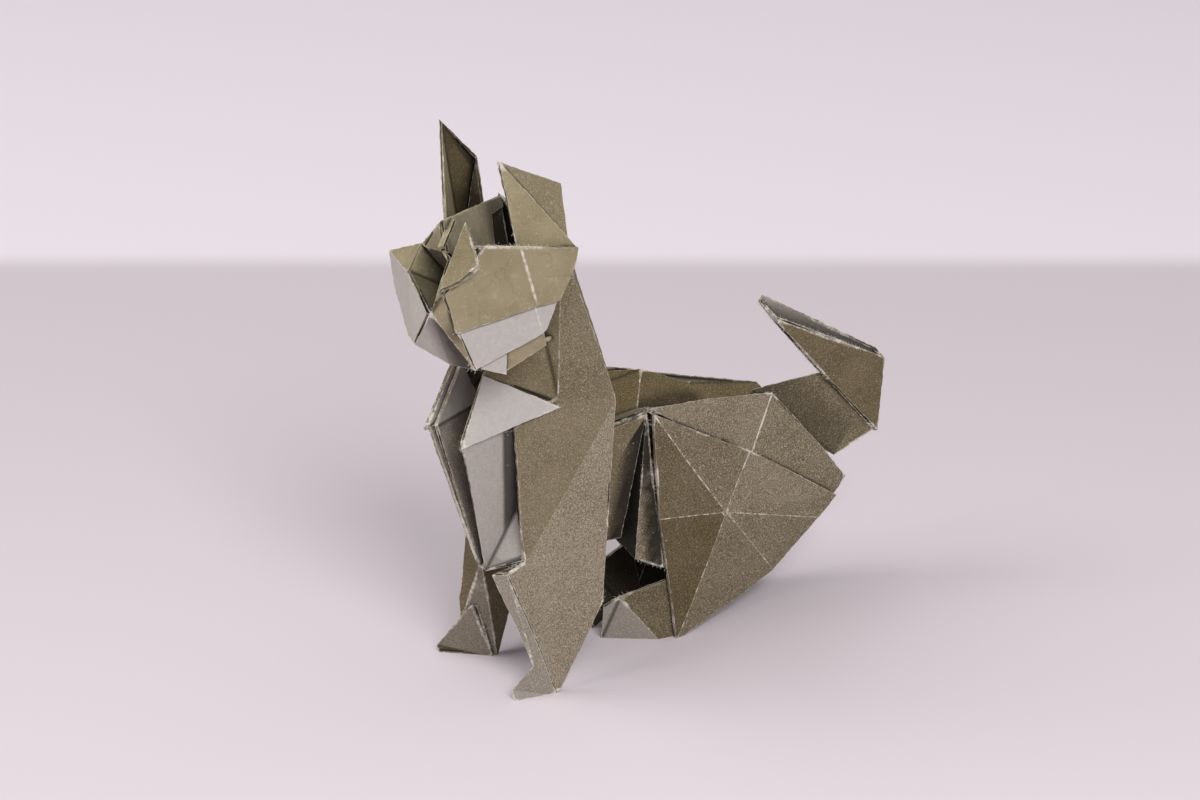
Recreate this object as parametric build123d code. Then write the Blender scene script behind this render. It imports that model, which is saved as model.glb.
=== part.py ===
"""A sitting dog folded from one square of thin speckled paper, as a single solid.

Every flap is a folded sheet: named corners, flat panels between them, and one paper thickness.
Corners are given as (ahead, out, up): ahead of the front heels, out to the dog's left, up from
the table.  The rump and the head each have a frame of their own, turned against the chest.
Units are millimetres, +X is ahead, +Y is the dog's left and +Z is up.
"""
from build123d import *
import os
import numpy as np

# Paper
PAPER = 0.45            # a flap of two or three layers pressed flat
LAYER_STEP = 0.30       # how far a flap that lies on another stands off it
TRIM_DEPTH = 0.40       # how far the feet run below the table before they are cut flat

# How the three parts of the figure are turned against each other
RUMP_TURN = -12.0       # the rump points to the right of the chest, in degrees
RUMP_BEHIND = 24.7      # the rump's own zero, behind the front heels
HEAD_TURN = 22.0        # the head looks to the dog's left, in degrees
HEAD_ROLL = 9.5         # and its left side is lifted, in degrees
HEAD_BEHIND = 0.7       # the head's own zero, behind the front heels
HEAD_UP = 55.0          # and above the table

# Neck and shoulders
NECK_BACK_BEHIND = 2.9
NECK_BACK_HALF = 6.4
NECK_TOP = 58.6
NAPE_BEHIND = 7.5
NECK_FOLD_BEHIND = 1.1
NECK_FOLD_HALF = 6.2
SHOULDER_BEHIND = 8.3
SHOULDER_HALF = 8.0
SHOULDER_UP = 41.0
WITHERS_BEHIND = 13.0
WITHERS_UP = 30.5
COLLAR_HALF = 6.8
COLLAR_UP = 43.0
CHEST_SIDE_AHEAD = 6.0
CHEST_SIDE_HALF = 5.6
CHEST_SIDE_UP = 40.0
CROSS_FOLD_AHEAD = 5.0
CROSS_FOLD_RISE = 4.4   # above the notch in the leg's front edge

# Front legs
ELBOW_BEHIND = 6.0
ELBOW_HALF = 8.6
ELBOW_UP = 12.5
NOTCH_AHEAD = 4.4
NOTCH_UP = 20.6
LEG_FRONT_AHEAD = 6.9
LEG_FRONT_HALF = 5.2
LEG_FRONT_UP = 19.6
HEM_TOP_AHEAD = 8.0
HEM_TOP_HALF = 4.1
HEM_LOW_AHEAD = 2.7
HEM_LOW_HALF = 5.7
HEM_LOW_UP = 4.2
LINING_BEHIND = 3.0
LINING_HALF = 4.4
LINING_UP = 12.0
FRONT_FOOT_HALF = 6.5
PAW_LENGTH = 5.8
PAW_TOE_HALF = 4.6
PAW_TOE_UP = 1.3
PAW_TOP_UP = 4.6
RIGHT_RIDGE_AHEAD = 5.0
RIGHT_RIDGE_HALF = 3.0
RIGHT_RIDGE_UP = 17.4
RIGHT_FLAP_AHEAD = 4.4
RIGHT_FLAP_TOP_HALF = 6.8
RIGHT_FLAP_HALF = 8.5
RIGHT_FLAP_TOP_UP = 20.0
RIGHT_FLAP_MID_UP = 9.4
RIGHT_FLAP_LOW_UP = 5.6
RIGHT_TOE_AHEAD = 5.5
RIGHT_TOE_HALF = 11.9
RIGHT_TOE_UP = 1.0

# Bib
BREAST_AHEAD = 12.6
BREAST_HALF = 3.5
BREAST_UP = 39.3
THROAT_AHEAD = 8.7
THROAT_HALF = 3.0
THROAT_UP = 47.2
BIB_FOOT_AHEAD = 6.9
BIB_FOOT_HALF = 0.6
BIB_FOOT_UP = 18.2
BIB_BACK_AHEAD = 3.6
BIB_BACK_HALF = 5.0
BIB_FOLD_HALF = 2.8
BIB_FOLD_UP = 27.0
BIB_TIP_HALF = 7.4
BIB_TIP_UP = 41.8
BIB_FLAP_STEP = 0.7
BIB_HEM = 0.7           # how far the lining's edge lies behind the bib's own

# Saddle, along the rump's own frame
SADDLE_FRONT = 17.0
SADDLE_FRONT_HALF = 4.6
SADDLE_FRONT_UP = 33.2
SADDLE_DIP = 1.8
SADDLE_FOLD_AHEAD = 4.7
SADDLE_FOLD_UP = 32.6
PEAK_AHEAD = 7.0
PEAK_HALF = 7.2
PEAK_UP = 36.0
LOIN_SHARE = 0.47       # where the left top edge is highest, as a share of its length
LOIN_RISE = 0.6         # and how far it stands above a straight line there
LOIN_LOW_BEHIND = 4.5
LOIN_LOW_UP = 31.2
RIGHT_RISE_AHEAD = 1.1
RIGHT_RISE_HALF = 5.5
RIGHT_RISE_UP = 35.1
RIGHT_LOIN_BEHIND = 5.3
RIGHT_LOIN_HALF = 3.5
RIGHT_LOIN_UP = 32.5
TAIL_TOP_BEHIND = 15.2
TAIL_TOP_HALF = 1.9
TAIL_TOP_UP = 31.1

# Haunches
STEP_BEHIND = 10.2
STEP_HALF = 4.3
STEP_UP = 25.0
RUMP_LOW_BEHIND = 26.2
RUMP_LOW_HALF = 1.5
RUMP_LOW_UP = 13.2
RUMP_CORNER_BEHIND = 27.9
RUMP_CORNER_HALF = 1.2
RUMP_CORNER_UP = 15.5
RUMP_BACK_BEHIND = 23.5
RUMP_BACK_HALF = 1.6
RUMP_BACK_UP = 21.2
STEP_LAP = 1.8
KNEE_BEHIND = 5.6
KNEE_HALF = 5.9
KNEE_UP = 17.5
HEEL_AHEAD = 2.0
HEEL_HALF = 6.4
HOCK_BEHIND = 15.1
HOCK_HALF = 3.4
HOCK_UP = 5.0
THIGH_FOLD_AHEAD = 5.1
THIGH_FOLD_HALF = 6.9
THIGH_FOLD_UP = 19.4
SIDE_FOLD_BEHIND = 23.0
SIDE_FOLD_HALF = 2.1
SIDE_FOLD_UP = 10.7

# Flanks
FLANK_FRONT = 19.0
FLANK_TOP_HALF = 5.6
FLANK_TOP_UP = 32.6
FLANK_LOW_HALF = 4.9
FLANK_LOW_UP = 16.8
FLANK_EDGE_AHEAD = 9.8
PLEAT_DEEP_AHEAD = 8.2
PLEAT_DEEP_HALF = 0.4
PLEAT_DEEP_UP = 14.5
PLEAT_FRONT_AHEAD = 8.0
PLEAT_FRONT_UP = 13.7
PLEAT_REAR_AHEAD = 3.9
PLEAT_REAR_UP = 11.3
PLEAT_HALF = 6.2
PLEAT_TOP_INSET = 0.5

# Hind paws
HIND_TOP_AHEAD = 9.6
HIND_TOP_HALF = 4.5
HIND_TOP_UP = 7.4
HIND_NOSE_AHEAD = 11.5
HIND_NOSE_HALF = 3.4
HIND_NOSE_UP = 5.9
HIND_TOE_AHEAD = 10.9
HIND_TOE_HALF = 1.3
HIND_MID_AHEAD = 3.9
HIND_MID_HALF = 5.5
HIND_BACK_AHEAD = 2.2
HIND_BACK_HALF = 6.1
HIND_BACK_UP = 9.4
HIND_HEEL_AHEAD = 0.6
HIND_HEEL_HALF = 5.8

# Tail
TAIL_BASE_BEHIND = 13.0
TAIL_ROOT_FRONT_BEHIND = 16.5
TAIL_ROOT_FRONT_UP = 25.0
TAIL_ROOT_LOW_BEHIND = 25.9
TAIL_ROOT_LOW_HALF = 1.1
TAIL_ROOT_LOW_UP = 19.2
TAIL_ROOT_RISE_BEHIND = 23.8
TAIL_ROOT_RISE_UP = 31.4
TAIL_ROOT_END_HALF = 0.35
TAIL_ROOT_END_UP = 28.0
TAIL_BEND_BEHIND = 32.9
TAIL_BEND_UP = 21.4
TAIL_CORNER_BEHIND = 33.5
TAIL_CORNER_UP = 32.7
TAIL_HALF = 1.0
TAIL_LIP_BEHIND = 16.2
TAIL_LIP_UP = 41.8
TAIL_TIP_BEHIND = 15.2
TAIL_TIP_UP = 44.6
TAIL_END_BEHIND = 14.7
TAIL_END_UP = 44.0
TAIL_CAP_SHARE = 0.06   # how far down its free edge the tail's end is closed, as a share
TAIL_RISE = 0.5         # how far the right layer stands above the left one at the corner

# Left cheek, in the head's frame: one plane, bent in a little behind its crease
CHEEK_OUT = 18.08       # how far out the plane is at the head's own zero
CHEEK_TAPER = 0.82      # how much it comes in for each millimetre ahead
CHEEK_FLARE = 0.20      # and goes out for each millimetre up
CHEEK_BEND = 0.09       # how much more it comes in for each millimetre behind the crease
CHEEK_TOP_AHEAD = 18.5
CHEEK_TOP_UP = 12.6
CHEEK_REAR_AHEAD = 7.9
CHEEK_REAR_UP = 9.2
CHEEK_SIDE_AHEAD = 8.3
CHEEK_SIDE_UP = 6.9
CHEEK_FRONT_AHEAD = 21.5
CHEEK_FRONT_UP = 7.6
SEAM_REAR_AHEAD = 9.8
SEAM_REAR_UP = 3.1
SEAM_BEND_UP = 3.15
SEAM_MID_AHEAD = 16.2
SEAM_MID_UP = 2.65
SEAM_FRONT_AHEAD = 20.4
SEAM_FRONT_UP = 2.3
LIP_AHEAD = 19.7
LIP_UP = 2.1
CHIN_AHEAD = 18.0
CHIN_UP = -3.2
JOWL_AHEAD = 10.9
JOWL_UP = -0.4
CREASE_AHEAD = 14.1
CREASE_TOP_UP = 11.2
CREASE_LOW_UP = -0.85
CREASE_SLANT = 0.23     # how much further ahead the crease is for each millimetre up
CHEEK_LAYER_STEP = 0.4
OVERLAY_TOP_AHEAD = 17.6
OVERLAY_TOP_UP = 12.35
BEHIND_STEP = 0.5
BEHIND_CHIN_AHEAD = 17.1
BEHIND_CHIN_UP = -3.5
BEHIND_LOW_AHEAD = 14.6
BEHIND_LOW_UP = -5.2
BEHIND_TOP_UP = -1.0
TUCK_STEP = 0.85
TUCK_FRONT_AHEAD = 15.6
TUCK_REAR_AHEAD = 10.3
TUCK_REAR_UP = -2.7
TUCK_LOW_UP = -4.9

# Right cheek, muzzle and crest, in the head's frame
RIGHT_REAR_AHEAD = 9.9
RIGHT_REAR_HALF = 12.5
RIGHT_REAR_UP = 8.7
RIGHT_TOP_AHEAD = 12.6
RIGHT_TOP_HALF = 5.5
RIGHT_TOP_UP = 10.8
RIGHT_SEAM_AHEAD = 10.6
RIGHT_SEAM_HALF = 12.0
RIGHT_SEAM_UP = 4.4
RIGHT_RIM_AHEAD = 15.9
RIGHT_RIM_HALF = 6.0
RIGHT_RIM_UP = 8.3
RIGHT_FRONT_AHEAD = 20.6
RIGHT_FRONT_HALF = 1.0
RIGHT_JOWL_AHEAD = 15.9
RIGHT_JOWL_HALF = 7.4
RIGHT_CHIN_AHEAD = 18.5
RIGHT_CHIN_HALF = 5.0
RIGHT_CHIN_UP = 0.2
JAW_AHEAD = 17.7
JAW_HALF = 1.0
JAW_UP = -2.6
NOSE_AHEAD = 21.3
NOSE_UP = 4.9
BROW_AHEAD = 13.3
BROW_HALF = 4.5
BROW_UP = 10.7
BRIDGE_AHEAD = 14.5
BRIDGE_HALF = 1.5
TROUGH_AHEAD = 10.5
TROUGH_HALF = 1.6
TROUGH_UP = 3.0
TROUGH_SIDE_AHEAD = 17.0
TROUGH_SIDE_HALF = 0.9
TROUGH_SIDE_UP = 10.4
FLAP_APEX_AHEAD = 18.0
FLAP_APEX_OUT = 4.8
FLAP_APEX_UP = 15.5
FLAP_TIP_AHEAD = 19.6
FLAP_TIP_OUT = 6.65
FLAP_TIP_UP = 10.65
FLAP_ROLL_AHEAD = 21.0
FLAP_ROLL_OUT = 4.3
FLAP_ROLL_UP = 9.1
FLAP_LOW_AHEAD = 22.0
FLAP_LOW_OUT = 2.2
FLAP_LOW_UP = 8.4
FLAP_HEM = 0.6          # how far the flap's lining hangs below it
PLEAT_STRIP_AHEAD = 18.1
PLEAT_STRIP_OUT = 0.4
PLEAT_STRIP_UP = 12.3
PLEAT_STRIP_TOP_AHEAD = 14.1
PLEAT_STRIP_TOP_UP = 14.4
PLEAT_STRIP_WIDE = 0.8
CREST_FRONT_AHEAD = 15.9
CREST_FRONT_UP = 14.9
CREST_BACK_AHEAD = 2.3
CREST_BACK_UP = 13.65
CREST_DEPTH = 4.0
CREST_STRIP = 1.4       # how deep the crest is behind the pocket's wall
CREST_CUT_AHEAD = 5.0
CREST_CUT_UP = 12.2
CREST_FOOT_AHEAD = 6.4
CREST_FOOT_UP = 3.0
EAR_SEAT_AHEAD = 5.0
EAR_SEAT_HALF = 6.0
EAR_SEAT_UP = 7.6
NECK_SOCKET_AHEAD = 2.0
NECK_SOCKET_HALF = 4.5
NECK_SOCKET_UP = -5.0

# Ears, in the head's frame
LEFT_EAR_TIP = 6.4
LEFT_EAR_TIP_AHEAD = 11.4
LEFT_EAR_TIP_UP = 20.7
LEFT_EAR_FRONT_AHEAD = 12.4
LEFT_EAR_FRONT = 7.5
LEFT_EAR_FRONT_UP = 10.4
LEFT_EAR_BACK_AHEAD = 4.3
LEFT_EAR_BACK = 9.9
LEFT_EAR_BACK_UP = 15.8
LEFT_EAR_LOW_AHEAD = 7.0
LEFT_EAR_LOW = 11.3
LEFT_EAR_LOW_UP = 9.6
RIGHT_EAR_TIP_AHEAD = 6.5
RIGHT_EAR_TIP = 4.0
RIGHT_EAR_TIP_UP = 24.5
RIGHT_EAR_FRONT_AHEAD = 9.5
RIGHT_EAR_FRONT = 4.5
RIGHT_EAR_TOP_AHEAD = 0.0
RIGHT_EAR_TOP = 3.9
RIGHT_EAR_TOP_UP = 17.8
RIGHT_EAR_FOLD_TOP_AHEAD = -0.8
RIGHT_EAR_FOLD_TOP = 5.2
RIGHT_EAR_FOLD_TOP_UP = 16.1
RIGHT_EAR_FOLD_AHEAD = 0.6
RIGHT_EAR_FOLD = 8.0
RIGHT_EAR_REAR_AHEAD = 1.3
RIGHT_EAR_REAR = 3.5
RIGHT_EAR_BASE_UP = 6.4


def in_chest_frame(corner):
    """A corner of the chest, neck or front legs, measured from between the front heels."""
    return Vector(*corner)


def in_rump_frame(corner):
    """A corner of the saddle, haunches or tail, carried into the chest's frame."""
    return Vector(*corner).rotate(Axis.Z, RUMP_TURN) + Vector(-RUMP_BEHIND, 0, 0)


def in_head_frame(corner):
    """A corner of the head or ears, carried into the chest's frame."""
    turned = Vector(*corner).rotate(Axis.X, HEAD_ROLL).rotate(Axis.Z, HEAD_TURN)
    return turned + Vector(-HEAD_BEHIND, 0, HEAD_UP)


def on_cheek(ahead, up, step=0.0):
    """A corner on the plane of the left cheek, or a step out from it."""
    crease_ahead = CREASE_AHEAD + (up - CREASE_TOP_UP) * CREASE_SLANT
    bent_in = CHEEK_BEND * max(0.0, crease_ahead - ahead)
    return (ahead, CHEEK_OUT - CHEEK_TAPER * ahead + CHEEK_FLARE * up - bent_in + step, up)


def on_crease(up, step=0.0):
    """A corner on the crease that runs down the left cheek."""
    return on_cheek(CREASE_AHEAD + (up - CREASE_TOP_UP) * CREASE_SLANT, up, step)


def mirrored(corners):
    """The same corners on the dog's right."""
    return {name: (ahead, -out, up) for name, (ahead, out, up) in corners.items()}


def runs(panel):
    """The directed edges round a panel."""
    return list(zip(panel, panel[1:] + panel[:1]))


def facing_alike(panels):
    """Panels with their corners reordered so that they all show the same side of the paper."""
    alike = [tuple(panels[0])]
    waiting = [tuple(panel) for panel in panels[1:]]
    while waiting:
        laid = {run for panel in alike for run in runs(panel)}
        for panel in waiting:
            same_way = laid.intersection(runs(panel))
            if same_way or laid.intersection((b, a) for a, b in runs(panel)):
                alike.append(panel[::-1] if same_way else panel)
                waiting.remove(panel)
                break
        else:
            raise ValueError("a panel shares no fold with its sheet: " + str(waiting[0]))
    return alike


def panel_normal(points):
    """The unit normal of a panel, also where it is slightly twisted."""
    total = Vector(0, 0, 0)
    for a, b in zip(points, points[1:] + points[:1]):
        total += a.cross(b)
    return total.normalized()


def facets(points):
    """A flat face through the points, or a fan of triangles where they aren't flat."""
    normal = panel_normal(points)
    if max(abs((point - points[0]).dot(normal)) for point in points) < 1e-6:
        return [Face(Wire.make_polygon(points, close=True))]
    fan = zip(points[1:], points[2:])
    return [Face(Wire.make_polygon([points[0], a, b], close=True)) for a, b in fan]


def folded_sheet(corners, panels, frame, thickness=PAPER):
    """One solid sheet of paper, mitred at its folds, from named corners and flat panels."""
    places = {name: frame(corner) for name, corner in corners.items()}
    panels = facing_alike(panels)
    normals = [panel_normal([places[name] for name in panel]) for panel in panels]
    lift = {}
    for name in sorted({name for panel in panels for name in panel}):
        around = [tuple(n) for n, panel in zip(normals, panels) if name in panel]
        half = np.full(len(around), thickness / 2)
        move = Vector(*np.linalg.lstsq(np.array(around), half, rcond=0.05)[0])
        lift[name] = move * min(1.0, thickness / move.length)
    front = {name: places[name] + move for name, move in lift.items()}
    back = {name: places[name] - move for name, move in lift.items()}
    faces = []
    edges = [run for panel in panels for run in runs(panel)]
    for panel in panels:
        faces += facets([front[name] for name in panel])
        faces += facets([back[name] for name in panel])
    for a, b in edges:
        if (b, a) not in edges:
            faces += facets([front[a], front[b], back[b], back[a]])
    return Solid(Shell(faces))


def mantle():
    """Neck, back of the neck, both shoulders and the outside of the left front leg."""
    left = {
        "neck_back": (-NECK_BACK_BEHIND, NECK_BACK_HALF, NECK_TOP),
        "neck_fold": (-NECK_FOLD_BEHIND, NECK_FOLD_HALF, NECK_TOP),
        "collar": (0, COLLAR_HALF, COLLAR_UP),
        "shoulder": (-SHOULDER_BEHIND, SHOULDER_HALF, SHOULDER_UP),
        "chest_side": (CHEST_SIDE_AHEAD, CHEST_SIDE_HALF, CHEST_SIDE_UP),
        "cross_fold": (CROSS_FOLD_AHEAD, CHEST_SIDE_HALF, NOTCH_UP + CROSS_FOLD_RISE),
        "notch": (NOTCH_AHEAD, CHEST_SIDE_HALF, NOTCH_UP),
        "elbow": (-ELBOW_BEHIND, ELBOW_HALF, ELBOW_UP),
        "leg_front": (LEG_FRONT_AHEAD, LEG_FRONT_HALF, LEG_FRONT_UP),
        "heel": (0, FRONT_FOOT_HALF, -TRIM_DEPTH),
        "throat": (THROAT_AHEAD, THROAT_HALF, THROAT_UP),
        "neck_front": (NECK_FOLD_BEHIND, THROAT_HALF, NECK_TOP),
    }
    corners = dict(left)
    corners.update({"right_" + name: corner for name, corner in mirrored(left).items()})
    corners["nape"] = (-NAPE_BEHIND, 0, NECK_TOP)
    corners["withers"] = (-WITHERS_BEHIND, 0, WITHERS_UP)
    crest = in_head_frame((CREST_BACK_AHEAD, 0, CREST_BACK_UP))
    corners["crest"] = (crest.X, crest.Y, crest.Z)
    side = [
        ("neck_front", "throat", "collar", "neck_fold"),
        ("neck_fold", "collar", "neck_back"),
        ("neck_back", "collar", "shoulder"),
        ("collar", "throat", "chest_side"),
        ("collar", "chest_side", "cross_fold"),
        ("collar", "cross_fold", "shoulder"),
        ("shoulder", "cross_fold", "notch", "elbow"),
    ]
    panels = [("neck_back", "shoulder", "nape"), ("nape", "shoulder", "withers")]
    panels += [("nape", "withers", "right_shoulder"), ("nape", "right_shoulder", "right_neck_back")]
    panels += [("neck_fold", "neck_back", "crest"), ("neck_back", "nape", "crest")]
    panels += [("right_neck_back", "nape", "crest"), ("right_neck_fold", "right_neck_back", "crest")]
    panels += [("right_neck_front", "right_neck_fold", "crest")]
    panels += side
    panels += [tuple("right_" + name for name in panel) for panel in side]
    panels += [("notch", "leg_front", "heel"), ("notch", "heel", "elbow")]
    return folded_sheet(corners, panels, in_chest_frame)


def left_leg_lining():
    """The pale hem down the front of the left leg and the layer behind it."""
    corners = {
        "leg_front": (LEG_FRONT_AHEAD, LEG_FRONT_HALF, LEG_FRONT_UP),
        "heel": (0, FRONT_FOOT_HALF, -TRIM_DEPTH),
        "hem_top": (HEM_TOP_AHEAD, HEM_TOP_HALF, LEG_FRONT_UP),
        "hem_low": (HEM_LOW_AHEAD, HEM_LOW_HALF, HEM_LOW_UP),
        "lining": (-LINING_BEHIND, LINING_HALF, LINING_UP),
        "lining_top": (-LINING_BEHIND, LINING_HALF, LEG_FRONT_UP),
    }
    panels = [
        ("leg_front", "heel", "hem_low", "hem_top"),
        ("hem_top", "hem_low", "lining", "lining_top"),
    ]
    return folded_sheet(corners, panels, in_chest_frame)


def left_front_paw():
    """The small open pocket that points ahead from the left heel."""
    corners = {
        "top": (HEM_LOW_AHEAD, HEM_LOW_HALF, PAW_TOP_UP),
        "heel": (0, FRONT_FOOT_HALF, -TRIM_DEPTH),
        "toe": (PAW_LENGTH, PAW_TOE_HALF, PAW_TOE_UP),
        "sole": (PAW_LENGTH, PAW_TOE_HALF, -TRIM_DEPTH),
        "inner": (0, HEM_LOW_HALF - PAPER, -TRIM_DEPTH),
    }
    panels = [("top", "toe", "heel"), ("toe", "sole", "heel"), ("top", "toe", "inner")]
    return folded_sheet(corners, panels, in_chest_frame)


def right_front_leg():
    """The right leg, opened out so that its front flap faces ahead, with its paw."""
    corners = {
        "ridge": (RIGHT_RIDGE_AHEAD, -RIGHT_RIDGE_HALF, RIGHT_RIDGE_UP),
        "flap_top": (RIGHT_FLAP_AHEAD, -RIGHT_FLAP_TOP_HALF, RIGHT_FLAP_TOP_UP),
        "flap_mid": (RIGHT_FLAP_AHEAD, -RIGHT_FLAP_HALF, RIGHT_FLAP_MID_UP),
        "flap_low": (RIGHT_FLAP_AHEAD, -RIGHT_FLAP_HALF, RIGHT_FLAP_LOW_UP),
        "heel": (0, -FRONT_FOOT_HALF, -TRIM_DEPTH),
        "elbow": (-ELBOW_BEHIND, -ELBOW_HALF, ELBOW_UP),
        "notch": (NOTCH_AHEAD, -CHEST_SIDE_HALF, NOTCH_UP + PAPER),
    }
    panels = [
        ("ridge", "flap_top", "flap_mid"),
        ("ridge", "flap_mid", "flap_low", "heel"),
        ("ridge", "heel", "elbow"),
        ("ridge", "elbow", "notch"),
    ]
    return folded_sheet(corners, panels, in_chest_frame)


def right_front_paw():
    """The pocket that points ahead and outwards from the right heel."""
    corners = {
        "top": (RIGHT_FLAP_AHEAD, -CHEST_SIDE_HALF, RIGHT_FLAP_MID_UP),
        "flap": (RIGHT_FLAP_AHEAD, -RIGHT_FLAP_HALF, RIGHT_FLAP_LOW_UP),
        "toe": (RIGHT_TOE_AHEAD, -RIGHT_TOE_HALF, RIGHT_TOE_UP),
        "sole": (RIGHT_TOE_AHEAD, -RIGHT_TOE_HALF, -TRIM_DEPTH),
        "heel": (PAPER, -FRONT_FOOT_HALF, -TRIM_DEPTH),
    }
    panels = [("top", "flap", "toe"), ("top", "toe", "heel"), ("toe", "sole", "heel")]
    return folded_sheet(corners, panels, in_chest_frame)


def bib(side):
    """One half of the bib: the long lower panel, its lining and the pale flap that hangs over it."""
    lower = {
        "breast": (BREAST_AHEAD, BREAST_HALF, BREAST_UP),
        "foot": (BIB_FOOT_AHEAD, BIB_FOOT_HALF, BIB_FOOT_UP),
        "fold": (BIB_BACK_AHEAD, BIB_FOLD_HALF, BIB_FOLD_UP),
        "back_low": (BIB_BACK_AHEAD, BIB_BACK_HALF, NOTCH_UP),
        "back_top": (BIB_BACK_AHEAD, BIB_BACK_HALF, BREAST_UP),
        "throat": (THROAT_AHEAD, THROAT_HALF, THROAT_UP),
    }
    flap = {
        "breast": (BREAST_AHEAD + LAYER_STEP, BREAST_HALF + LAYER_STEP, BREAST_UP - BIB_FLAP_STEP),
        "tip": (0, BIB_TIP_HALF, BIB_TIP_UP),
        "throat": (THROAT_AHEAD, THROAT_HALF, THROAT_UP),
    }
    lining = dict(lower)
    for name in ("breast", "throat"):
        ahead, out, up = lower[name]
        lining[name] = (ahead - BIB_HEM, out - BIB_HEM, up)
    if side < 0:
        lower, lining, flap = mirrored(lower), mirrored(lining), mirrored(flap)
    lower_panels = [
        ("breast", "foot", "fold", "back_top"),
        ("foot", "back_low", "fold"),
        ("breast", "back_top", "throat"),
    ]
    return [
        folded_sheet(lower, lower_panels, in_chest_frame),
        folded_sheet(lining, lower_panels, in_chest_frame),
        folded_sheet(flap, [("breast", "tip", "throat")], in_chest_frame),
    ]


def bib_foot():
    """The turned-up edge that closes the bib at the bottom and carries the legs' tops."""
    corners = {
        "foot": (BIB_FOOT_AHEAD, BIB_FOOT_HALF, BIB_FOOT_UP),
        "right_foot": (BIB_FOOT_AHEAD, -BIB_FOOT_HALF, BIB_FOOT_UP),
        "left": (NOTCH_AHEAD - PAPER, CHEST_SIDE_HALF, NOTCH_UP),
        "right": (NOTCH_AHEAD - PAPER, -CHEST_SIDE_HALF, NOTCH_UP),
    }
    return folded_sheet(corners, [("foot", "left", "right", "right_foot")], in_chest_frame)


def saddle_and_rump():
    """The dipped back and the upper band of both haunches, folded down along their top edges."""
    left = {
        "front": (SADDLE_FRONT, SADDLE_FRONT_HALF, SADDLE_FRONT_UP),
        "peak": (PEAK_AHEAD, PEAK_HALF, PEAK_UP),
        "tail_top": (-TAIL_TOP_BEHIND, TAIL_TOP_HALF, TAIL_TOP_UP),
        "corner": (-RUMP_CORNER_BEHIND, RUMP_CORNER_HALF, RUMP_CORNER_UP),
        "back": (-RUMP_BACK_BEHIND, RUMP_BACK_HALF, RUMP_BACK_UP),
        "step_lap": (-STEP_BEHIND, STEP_HALF, STEP_UP - STEP_LAP),
        "low_lap": (-RUMP_LOW_BEHIND + STEP_LAP, RUMP_LOW_HALF, RUMP_LOW_UP - STEP_LAP),
    }
    corners = dict(left)
    corners.update({"right_" + name: corner for name, corner in mirrored(left).items()})
    peak, tail_top, step = (Vector(*left[name]) for name in ("peak", "tail_top", "step_lap"))
    loin = peak + (tail_top - peak) * LOIN_SHARE
    loin += (loin - step).normalized() * LOIN_RISE
    corners["loin"] = (loin.X, loin.Y, loin.Z)
    corners["right_rise"] = (RIGHT_RISE_AHEAD, -RIGHT_RISE_HALF, RIGHT_RISE_UP)
    corners["right_loin"] = (-RIGHT_LOIN_BEHIND, -RIGHT_LOIN_HALF, RIGHT_LOIN_UP)
    corners["mid_front"] = (SADDLE_FRONT, 0, SADDLE_FRONT_UP - SADDLE_DIP)
    corners["mid_fold"] = (SADDLE_FOLD_AHEAD, 0, SADDLE_FOLD_UP)
    corners["mid_loin"] = (-LOIN_LOW_BEHIND, 0, LOIN_LOW_UP)
    corners["mid_tail"] = (-TAIL_TOP_BEHIND, 0, TAIL_TOP_UP - SADDLE_DIP / 2)
    panels = [
        ("mid_fold", "mid_front", "front", "peak"),
        ("mid_fold", "mid_loin", "loin", "peak"),
        ("mid_loin", "mid_tail", "tail_top", "loin"),
        ("mid_fold", "mid_front", "right_front", "right_peak", "right_rise"),
        ("mid_fold", "mid_loin", "right_loin", "right_rise"),
        ("mid_loin", "mid_tail", "right_tail_top", "right_loin"),
        ("step_lap", "tail_top", "loin", "peak"),
        ("right_step_lap", "right_tail_top", "right_loin", "right_rise", "right_peak"),
    ]
    band = [("tail_top", "back", "step_lap"), ("back", "corner", "low_lap", "step_lap")]
    panels += band
    panels += [tuple("right_" + name for name in panel) for panel in band]
    return folded_sheet(corners, panels, in_rump_frame)


def haunch(side):
    """The big lower panel of a haunch, creased from its knee to every edge."""
    corners = {
        "peak": (PEAK_AHEAD - PAPER, PEAK_HALF + LAYER_STEP, PEAK_UP - PAPER),
        "step": (-STEP_BEHIND, STEP_HALF + LAYER_STEP, STEP_UP),
        "low": (-RUMP_LOW_BEHIND, RUMP_LOW_HALF + LAYER_STEP, RUMP_LOW_UP),
        "side_fold": (-SIDE_FOLD_BEHIND, SIDE_FOLD_HALF + LAYER_STEP, SIDE_FOLD_UP),
        "hock": (-HOCK_BEHIND, HOCK_HALF + LAYER_STEP, HOCK_UP),
        "heel": (HEEL_AHEAD, HEEL_HALF, -TRIM_DEPTH),
        "thigh_fold": (THIGH_FOLD_AHEAD, THIGH_FOLD_HALF + LAYER_STEP, THIGH_FOLD_UP),
        "knee": (-KNEE_BEHIND, KNEE_HALF + LAYER_STEP, KNEE_UP),
    }
    if side < 0:
        corners = mirrored(corners)
    round_knee = ["peak", "step", "low", "side_fold", "hock", "heel", "thigh_fold"]
    panels = [("knee", a, b) for a, b in runs(round_knee)]
    return folded_sheet(corners, panels, in_rump_frame)


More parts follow.
